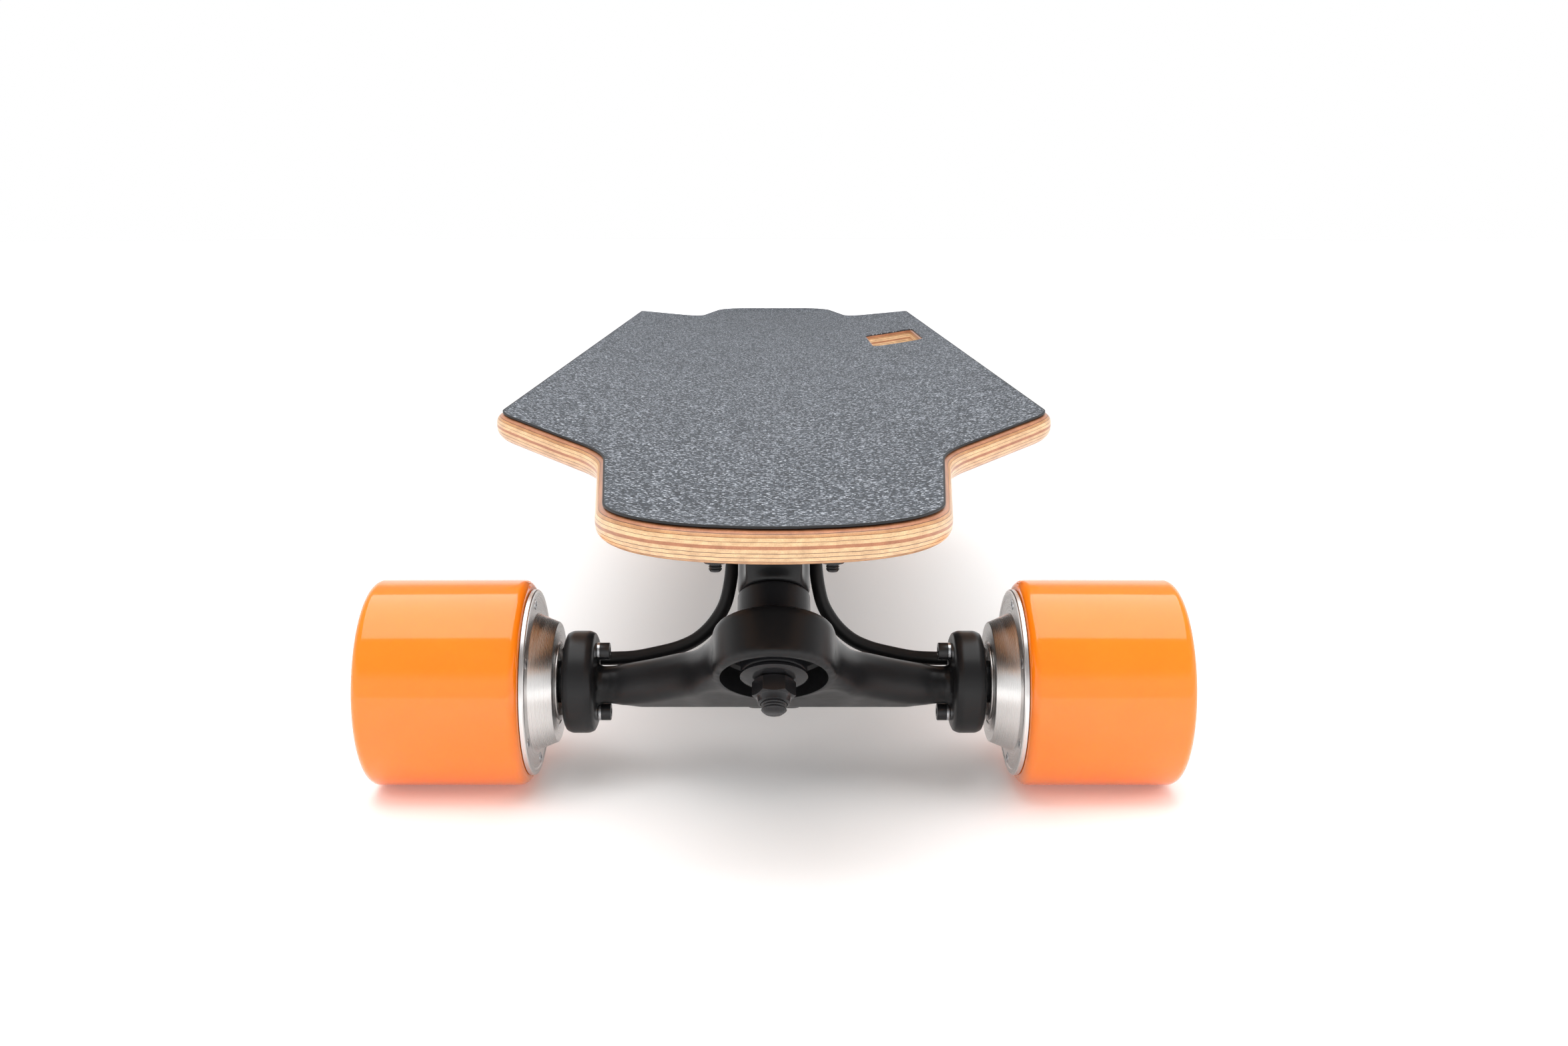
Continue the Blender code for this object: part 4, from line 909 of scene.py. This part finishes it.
def make_baseplate(paint, truck, end):
    """Cast plate with the kingpin's boss and the pivot's block, on a rubber riser."""
    black = paint["satin_black"]
    kingpin, pivot, frame_at = kingpin_frame(end), pivot_frame(end), truck_frame(end)
    base_out, base_in = 0.0840, 0.0360
    outline = oblong(0.0290, (base_out + base_in) / 2, 0.010, 12)
    middle = frame_at @ at(0, (base_out - base_in) / 2, 0)
    base = prism(f"{truck}_baseplate_cast", outline, BASE_BOTTOM, BASE_TOP, black, middle)
    cup = 0.0087
    shape = [on_kingpin(BOSS_START + 0.003, 0.013), (SEAT_OUT - 0.004, BASE_TOP - 0.001),
             (-base_in + 0.002, BASE_TOP - 0.001), (-base_in + 0.002, SEAT_HEIGHT - 0.010),
             on_pivot(-0.004, cup), on_pivot(-0.004, -cup), on_pivot(0.0090, -cup),
             on_pivot(0.0090, cup), (-PIVOT_IN + 0.007, SEAT_HEIGHT - 0.010),
             (0, SEAT_HEIGHT + 0.008), on_kingpin(BOSS_START + 0.003, -0.013)]
    bm = bmesh.new()
    bridge(bm, [ring(bm, [(x, y, z) for y, z in shape]) for x in (-0.0110, 0.0110)])
    block = add("block", bm, black, None, frame_at)
    top_lift = (BASE_TOP - 0.001 - 0.014 * cos(KINGPIN_TILT) - SEAT_HEIGHT) / sin(KINGPIN_TILT)
    boss = turned("boss", [(0.0005, BOSS_START), (0.0132, BOSS_START), (0.0140, BOSS_START + 0.0008),
                           (0.0140, top_lift), (0.0005, top_lift)], black, None, kingpin)
    join([base, block, boss])
    fair(base, 0.0050)
    cast(base, 0.0007, 3)
    cutters = [turned("pin_hole", [(0.0051, BOSS_START - 0.01), (0.0051, HEAD_SEAT - GAP),
                                   (0.0081, HEAD_SEAT - GAP), (0.0081, HEAD_SEAT + 0.03)],
                      black, None, kingpin),
               turned("cup_hole", [(0.0070, -0.0023), (0.0070, 0.030)], black, None, pivot)]
    for name, x, y in bolt_places():
        if name.startswith(truck):
            cutters.append(turned("bolt_hole", [(0.0028, BASE_BOTTOM - 0.003),
                                                (0.0028, BASE_TOP + 0.003)],
                                  black, None, at(x, y, 0), 32))
    for cutter in cutters:
        boolean(base, cutter)
    base.data.shade_smooth()
    base.data.set_sharp_from_angle(angle=radians(42))
    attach(base, "deck")
    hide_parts(f"{truck}_baseplate")


def make_kingpin(paint, truck, end):
    """Kingpin with its thread end, lock nut, cup washer and the two bushings."""
    kingpin = kingpin_frame(end)
    steel, soft = paint["black_steel"], paint["bushing_urethane"]
    radius, height = 0.0048, 0.0095
    tip = NUT_TOP - height - 0.0035
    profile = [(radius - 0.0014, tip), (radius - 0.0007, tip + 0.0006)]
    profile += thread(radius, tip + 0.0007, NUT_TOP + 0.0010, 0.0011, 0.0005)
    profile += [(radius, NUT_TOP + 0.0015), (radius, HEAD_SEAT), (0.0078, HEAD_SEAT),
                (0.0078, HEAD_SEAT + 0.0034), (0.0070, HEAD_SEAT + 0.0040)]
    turned(f"{truck}_kingpin_pin", profile, paint["black_steel"], "deck", kingpin, 48,
           replaces=(f"{truck}_kingpin",), crease=50)
    lock_nut(f"{truck}_kingpin_lock_nut", 0.0143, height, radius + GAP, steel, "deck",
             kingpin @ at(0, 0, NUT_TOP - height), (f"{truck}_kingpin_nut",))
    top = -RING_WEB - 2 * GAP - 0.0090
    bore = radius + GAP
    cup = [(bore, top), (0.0118, top), (0.0128, top + 0.0000), (0.0128, top - 0.0009),
           (0.0120, top - 0.0015), (0.0098, top - 0.0020), (bore, top - 0.0020)]
    turned(f"{truck}_cup_washer_pressed", cup, steel, "deck", kingpin, closed=True,
           replaces=(f"{truck}_cup_washer",), crease=30)
    for name, size, low, high, held in (("boardside", 0.0140, GAP, GAP + 0.0150, "low"),
                                        ("roadside", 0.0125, top + GAP, -RING_WEB - GAP, "high")):
        profile = eased([(bore, low), (size, low), (size, high), (bore, high)], 0.0013, 6)
        bushing = turned(f"{truck}_{name}_bushing_soft", profile, soft, None, kingpin, closed=True,
                         replaces=(f"{truck}_{name}_bushing",))
        bushing.data = subdivided(bushing.data)
        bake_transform(bushing)


# ---------------------------------------------------------------- wheels
def tyre_profile(width, bore, lip, inset_by, soft=0.0040, steps=10):
    """Closed profile of a tyre with rounded shoulders."""
    outer = []
    for k in range(steps + 1):
        turn = pi / 2 * k / steps
        outer.append((WHEEL_Z - soft + soft * sin(turn), soft - soft * cos(turn)))
    outer += [(r, width - h) for r, h in reversed(outer)]
    inner = [(lip, width), (bore, width - inset_by), (bore, inset_by), (lip, 0)]
    if inset_by == 0:
        inner = [(bore, width), (bore, 0)]
    return outer + inner


def make_plate_screws(paint, plate, side, place):
    """Six countersunk screws in the side plate's flat ring."""
    bm = bmesh.new()
    face = -0.0003 - 0.0020
    for k in range(6):
        turn = 2 * pi * k / 6
        spot = place @ at(0.0325 * cos(turn), 0.0325 * sin(turn), face) @ Matrix.Rotation(pi, 4, "X")
        boolean(plate, turned("sink", [(0.0009, -0.0014), (0.0024, 0.0001), (0.0024, 0.004)],
                              plate.data.materials[0], None, spot, 32))
        socket_head(bm, 0.0022, 0.0011, 0.0022, 0.0009, spot @ at(0, 0, -0.0011), 48)
    add(f"plate_screws_{side}", bm, paint["zinc_steel"], f"motor_wheel_{side}")
    plate.data.set_sharp_from_angle(angle=radians(28))


def make_motor_wheel(paint, side, sign):
    """Hub motor: tyre, shell with its outer cover, and side plate with its screws."""
    body = f"motor_wheel_{side}"
    face = along_x(sign * 0.0980, -AXLE_Y, WHEEL_Z, sign)
    width, shell, bore = 0.0636, 0.0350, 0.0320
    turned(f"motor_tyre_{side}_cast", tyre_profile(width, shell + GAP, 0, 0), paint["urethane"], body,
           face, 160, True, (f"motor_tyre_{side}",))
    floor = width - 0.0030
    cover = [(bore, floor), (bore, 0), (shell, 0), (shell, width - 0.0010),
             (shell - 0.0003, width - 0.0003), (shell - 0.0010, width), (0.0305, width),
             (0.0299, width - 0.0016), (0.0282, width - 0.0016), (0.0276, width - 0.0004),
             (0.0160, width - 0.0012), (0.0154, width - 0.0020), (0.0120, width - 0.0020),
             (0.0116, width - 0.0004), (0.0110, width), (0.0040, width),
             (0.0036, width - 0.0008), (0.0006, width - 0.0008)]
    turned(f"motor_shell_{side}_turned", [(0.0006, floor)] + cover, paint["turned_aluminium"], body,
           face, 128, False, (f"motor_shell_{side}",), 28)
    rim = -GAP - 0.0020
    cone = rim - 0.0086
    collar = cone - 0.0008
    seat = 0.0133
    plate = [(seat, -GAP), (0.0375, -GAP), (0.0375, rim + 0.0006), (0.0372, rim + 0.0002),
             (0.0366, rim), (0.0352, rim), (0.0349, rim + 0.0003), (0.0345, rim + 0.0003),
             (0.0279, rim + 0.0003), (0.0277, rim), (0.0243, cone + 0.0003),
             (0.0240, cone), (0.0172, cone), (0.0170, cone + 0.0004),
             (0.0160, cone + 0.0004), (0.0155, cone), (0.0155, collar + 0.0002), (0.0153, collar),
             (0.0137, collar), (0.0135, collar + 0.0002), (0.0135, cone + 0.0010),
             (0.0091, cone + 0.0010), (0.0091, cone + 0.0030), (seat, cone + 0.0030)]
    made = turned(f"motor_side_plate_{side}_turned", plate, paint["turned_aluminium"], body, face, 128,
                  True, (f"motor_side_plate_{side}",), 28)
    make_plate_screws(paint, made, side, face)


def make_stator(paint, side, sign):
    """Fixed axle of the hub motor with the winding's drum on it."""
    face = along_x(sign * 0.0980, -AXLE_Y, WHEEL_Z, sign)
    start, end = -0.0227, 0.0596
    turned(f"motor_axle_{side}", [(0.0080, start), (0.0085, start + 0.0005), (0.0085, end - 0.002),
                                  (0.0051, end - 0.002), (0.0051, end)], paint["black_steel"],
           "rear_hanger", face, 64, replaces=(f"motor_stator_{side}",))
    drum = eased([(0.0087, 0.0030), (0.0290, 0.0030), (0.0290, 0.0576), (0.0087, 0.0576)], 0.004, 6)
    turned(f"motor_winding_{side}", drum, paint["motor_winding"], "rear_hanger", face, 96, True)


def make_flange_screws(paint, side, sign):
    """Two cap screws with split spring washers in the motor hanger's end flange."""
    for level, step in (("upper", 1), ("lower", -1)):
        place = at(0, 0, step * 0.0257 / 2) @ flange_place(sign)
        head = place @ at(0, 0, -0.0013) @ Matrix.Rotation(pi, 4, "X")
        bm = bmesh.new()
        socket_head(bm, 0.0035, 0.0040, 0.0030, 0.0022, head)
        shank = [(0.0019, -0.0014), (0.0019, 0.0130), (0.0014, 0.0138)]
        loops = rings_of(bm, shank, 24)
        bridge(bm, loops)
        for loop in loops:
            for vert in loop:
                vert.co = place @ vert.co
        add(f"flange_cap_screw_{side}_{level}", bm, paint["black_steel"], "rear_hanger",
            replaces=(f"flange_screw_{side}_{level}",), crease=28)
        bm = bmesh.new()
        washer_ring(bm, 0.0035, 0.0021, -0.0013, -GAP, place)
        add(f"flange_spring_washer_{side}_{level}", bm, paint["zinc_steel"], "rear_hanger")


def make_free_wheel(paint, side, sign):
    """Front wheel: tyre, spoked core, two shielded bearings and the axle nut."""
    body = f"front_wheel_{side}"
    face = along_x(sign * 0.1000, AXLE_Y, WHEEL_Z, sign)
    width, core, inset_by = 0.0520, 0.0260, 0.0040
    turned(f"front_tyre_{side}_cast", tyre_profile(width, core + GAP, core + GAP + 0.0100, inset_by),
           paint["urethane"], body, face, 160, True, (f"front_tyre_{side}",))
    seat, near, thick = 0.0113, 0.0080, 0.0070
    back = near + thick + GAP
    web = 0.0070
    low, high = inset_by + GAP, width - inset_by - GAP
    profile = eased([(core, low), (core, high), (seat, high), (seat, width - back),
                     (web, width - back), (web, back), (seat, back), (seat, low)], 0.0004, 2)
    hub = turned(f"front_wheel_core_{side}_moulded", profile, paint["wheel_core"], body, face, 96,
                 True, (f"front_wheel_core_{side}",))
    for k in range(6):
        pocket = arc_pocket(0.0140, 0.0228, radians(60 * k + 8), radians(60 * k + 52))
        for level in (low - 0.0010, high - 0.0080):
            boolean(hub, prism("pocket", pocket, level, level + 0.0090, paint["wheel_core"], face))
    hub.data.set_sharp_from_angle(angle=radians(30))
    for level, name in ((near, "inner"), (width - near - thick, "outer")):
        shield = [(0.0043, 0), (0.0066, 0), (0.0067, 0.0004), (0.0098, 0.0004), (0.0099, 0),
                  (0.0109, 0), (0.0110, 0.0001), (0.0110, thick - 0.0001), (0.0109, thick),
                  (0.0099, thick), (0.0098, thick - 0.0004), (0.0067, thick - 0.0004),
                  (0.0066, thick), (0.0043, thick)]
        hidden = (f"front_bearings_{side}",) if name == "inner" else ()
        turned(f"front_bearing_{side}_{name}", shield, paint["bearing_steel"], body,
               face @ at(0, 0, level), 72, True, hidden, 28)
    start = width - near + 0.0006
    bm = bmesh.new()
    flats, height, hole = 0.0130, 0.0080, 0.0043
    bridge(bm, rings_of(bm, [(hole, 0), (flats * 0.475, 0), ("hex", flats, 0, 0.5),
                             ("hex", flats, height * 0.72, -0.5), (flats * 0.475, height * 0.72),
                             (flats * 0.45, height * 0.78), (flats * 0.43, height * 0.96),
                             (flats * 0.38, height), (hole, height)]), closed=True)
    add(f"front_axle_nut_{side}_cut", bm, paint["zinc_steel"], "front_hanger",
        face @ at(0, 0, start), (f"front_axle_nut_{side}",), 28)


def arc_pocket(inner, outer, start, stop, steps=10):
    """A pocket between two radii and two angles, as an outline."""
    points = []
    for k in range(steps + 1):
        turn = start + (stop - start) * k / steps
        points.append((outer * cos(turn), outer * sin(turn)))
    for k in range(steps + 1):
        turn = stop - (stop - start) * k / steps
        points.append((inner * cos(turn), inner * sin(turn)))
    return points


def make_front_axle(paint):
    _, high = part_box("front_axle")
    reach, radius = high.x, 0.0040
    profile = [(radius - 0.0008, -reach)] + thread(radius, -reach + 0.0004, -reach + 0.0105, 0.0008, 0.0003)
    profile += [(radius, -reach + 0.0110), (radius, reach - 0.0110)]
    profile += thread(radius, reach - 0.0105, reach - 0.0004, 0.0008, 0.0003)
    turned("front_axle_rod", profile + [(radius - 0.0008, reach)], paint["bearing_steel"],
           "front_hanger", along_x(0, AXLE_Y, WHEEL_Z, 1), 48, replaces=("front_axle",))


# ---------------------------------------------------------------- electronics box
CASE_LOW, CASE_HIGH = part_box("electronics_case")
CASE_LIP = 0.0050
CASE_HALF_WIDTH = CASE_HIGH.x - CASE_LIP
CASE_MIDDLE = (CASE_LOW.y + CASE_HIGH.y) / 2
CASE_HALF_LENGTH = (CASE_HIGH.y - CASE_LOW.y) / 2 - CASE_LIP
CASE_BOTTOM, CASE_LEAN, CASE_RADIUS, CASE_WALL = CASE_LOW.z, 0.0105, 0.0160, 0.0030
GASKET = 0.0015


def under_deck(x, y, drop):
    return (x, y, deck_top(x, y) - DECK_THICKNESS - GAP - drop)


def case_outline(grow):
    """The box's outline moved out by `grow`, with points all along its sides."""
    shape = oblong(CASE_HALF_WIDTH + grow, CASE_HALF_LENGTH + grow, CASE_RADIUS + grow, 10)
    points = []
    for i, (x, y) in enumerate(shape):
        stop = shape[(i + 1) % len(shape)]
        long_side = abs(stop[0] - x) + abs(stop[1] - y) > 0.02
        count = 18 if long_side else 1
        points += [(x + (stop[0] - x) * k / count, y + (stop[1] - y) * k / count + CASE_MIDDLE)
                   for k in range(count)]
    return points


def case_ring(bm, grow, drop=None, blend=1.0):
    """One ring of the box: `drop` below the deck, sunk toward the flat bottom as blend falls."""
    points = []
    for x, y in case_outline(grow):
        _, _, top = under_deck(x, y, drop)
        points.append((x, y, CASE_BOTTOM + (top - CASE_BOTTOM) * blend))
    return ring(bm, points)


def make_case(paint):
    """Moulded box with a lip that follows the deck below the gasket, and rounded lower edges."""
    bm = bmesh.new()
    seal = GASKET + GAP
    under = seal + 0.0030
    soft = 0.0045
    loops = [ring(bm, [(x, y, CASE_BOTTOM + CASE_WALL) for x, y in
                       case_outline(-CASE_LEAN - CASE_WALL)]),
             case_ring(bm, -CASE_WALL, seal), case_ring(bm, CASE_LIP - 0.0005, seal),
             case_ring(bm, CASE_LIP, seal + 0.0005), case_ring(bm, CASE_LIP, under - 0.0006),
             case_ring(bm, CASE_LIP - 0.0006, under), case_ring(bm, 0.0012, under),
             case_ring(bm, 0.0003, under + 0.0004), case_ring(bm, -0.0004, under + 0.0016)]
    full = deck_top(0, 0) - DECK_THICKNESS - GAP - under - CASE_BOTTOM
    start = soft / full
    wall_end = -CASE_LEAN + CASE_LEAN * start
    for k in range(7):
        turn = pi / 2 * k / 6
        grow = wall_end - soft * (1 - cos(turn)) * 0.8
        loops.append(case_ring(bm, grow, under, start * (1 - sin(turn))))
    bridge(bm, loops)
    case = add("case_moulded", bm, paint["case_plastic"], "deck", replaces=("electronics_case",),
               crease=50)
    return case


def drill_case(paint, case):
    """Openings for the power button and the charge port in the right wall."""
    for name, grow in (("power_button", 0.0003), ("charge_port", 0.0003)):
        low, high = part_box(name)
        radius = (high.z - low.z) / 2 + grow
        spot = along_x(high.x, (low.y + high.y) / 2, (low.z + high.z) / 2, 1)
        boolean(case, turned(name + "_hole", [(radius, -0.014), (radius, 0.014)],
                             paint["case_plastic"], None, spot, 64))
    case.data.set_sharp_from_angle(angle=radians(50))


def make_case_screws(paint):
    """Pan-head screws along the lip, from below."""
    bm = bmesh.new()
    spots = [(sign * (CASE_HALF_WIDTH + 0.0024), CASE_MIDDLE + step * (CASE_HALF_LENGTH - 0.03) / 2)
             for sign in (-1, 1) for step in (-2, -1, 0, 1, 2)]
    spots += [(x, CASE_MIDDLE + sign * (CASE_HALF_LENGTH + 0.0024))
              for sign in (-1, 1) for x in (-0.040, 0.040)]
    for x, y in spots:
        _, _, z = under_deck(x, y, GASKET + GAP + 0.0030)
        place = at(x, y, z) @ Matrix.Rotation(pi, 4, "X")
        socket_head(bm, 0.0022, 0.0016, 0.0016, 0.0010, place, 24)
    add("case_lip_screws", bm, paint["black_steel"], "deck")


def make_button(paint):
    """Power button with a dished face and a rim."""
    low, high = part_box("power_button")
    radius = (high.z - low.z) / 2
    reach = high.x - low.x
    place = along_x(high.x, (low.y + high.y) / 2, (low.z + high.z) / 2, 1)
    profile = [(radius, -reach), (radius, -0.0008), (radius - 0.0003, -0.0003),
               (radius - 0.0009, 0), (radius - 0.0016, 0), (radius - 0.0022, -0.0004),
               (0.0020, -0.0007), (0.0006, -0.0007)]
    turned("power_button_cap", profile, paint["black_steel"], "power_button", place, 72,
           replaces=("power_button",), crease=30)


# ---------------------------------------------------------------- phase leads
# Across, inboard of the axle, height over the axle: the right lead's middle line.
LEAD_ROUTE = [(0.0713, 0.0080, 0.0075), (0.0660, 0.0085, 0.0073), (0.0575, 0.0105, 0.0072),
              (0.0480, 0.0125, 0.0085), (0.0395, 0.0135, 0.0105), (0.0320, 0.0140, 0.0140),
              (0.0255, 0.0143, 0.0200), (0.0205, 0.0147, 0.0280), (0.0182, 0.0158, 0.0365),
              (0.0172, 0.0190, 0.0450), (0.0170, 0.0245, 0.0520), (0.0170, 0.0320, 0.0570),
              (0.0170, 0.0400, 0.0595), (0.0170, 0.0470, 0.0603)]


def make_lead(paint, side, sign):
    """A rubber-sheathed lead that runs from the hanger to the box."""
    route = smooth_stations([(sign * x, -AXLE_Y + inboard, WHEEL_Z + rise)
                             for x, inboard, rise in LEAD_ROUTE], 8)
    bm = bmesh.new()
    loops = []
    side_way = Vector((0, 0, 1))
    for i, spot in enumerate(route):
        ahead = route[min(i + 1, len(route) - 1)] - route[max(i - 1, 0)]
        ahead.normalize()
        first = (side_way - ahead * side_way.dot(ahead)).normalized()
        side_way = first
        second = ahead.cross(first)
        loops.append(ring(bm, [spot + 0.0028 * (first * cos(2 * pi * k / 24)
                                                + second * sin(2 * pi * k / 24))
                               for k in range(24)]))
    bridge(bm, loops)
    lead = add(f"phase_lead_{side}_sheath", bm, paint["cable_rubber"], None,
               replaces=(f"phase_lead_{side}",), crease=60)
    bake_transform(lead)


# ---------------------------------------------------------------- the scene
NODE_FINISH = {"case_gasket": "black_rubber", "battery_pack": "battery_wrap",
               "motor_controller": "controller_aluminium", "charge_port": "zinc_steel",
               "charge_port_cap": "black_rubber", "rear_riser_pad": "black_rubber",
               "front_riser_pad": "black_rubber", "rear_pivot_cup": "black_rubber",
               "front_pivot_cup": "black_rubber", "motor_bearing": "bearing_steel"}


def main():
    make_stage()
    paint = make_materials()
    make_deck(paint)
    make_truck_bolts(paint)
    for truck, end in TRUCKS.items():
        make_baseplate(paint, truck, end)
        make_hanger(paint, truck, end, 0.0737 if truck == "rear" else 0.1074)
        make_kingpin(paint, truck, end)
    for side, sign in SIDES.items():
        make_motor_wheel(paint, side, sign)
        make_stator(paint, side, sign)
        make_flange_screws(paint, side, sign)
        make_free_wheel(paint, side, sign)
        make_lead(paint, side, sign)
    make_front_axle(paint)
    case = make_case(paint)
    drill_case(paint, case)
    make_case_screws(paint)
    make_button(paint)
    dress_nodes(paint)


def dress_nodes(paint):
    """Give each node that still shows its finish from NODE_FINISH."""
    for name, piece in frame["nodes"].items():
        finish = paint.get(NODE_FINISH.get(name.split("_left")[0].split("_right")[0], ""))
        if finish:
            piece.data.materials.clear()
            piece.data.materials.append(finish)


main()
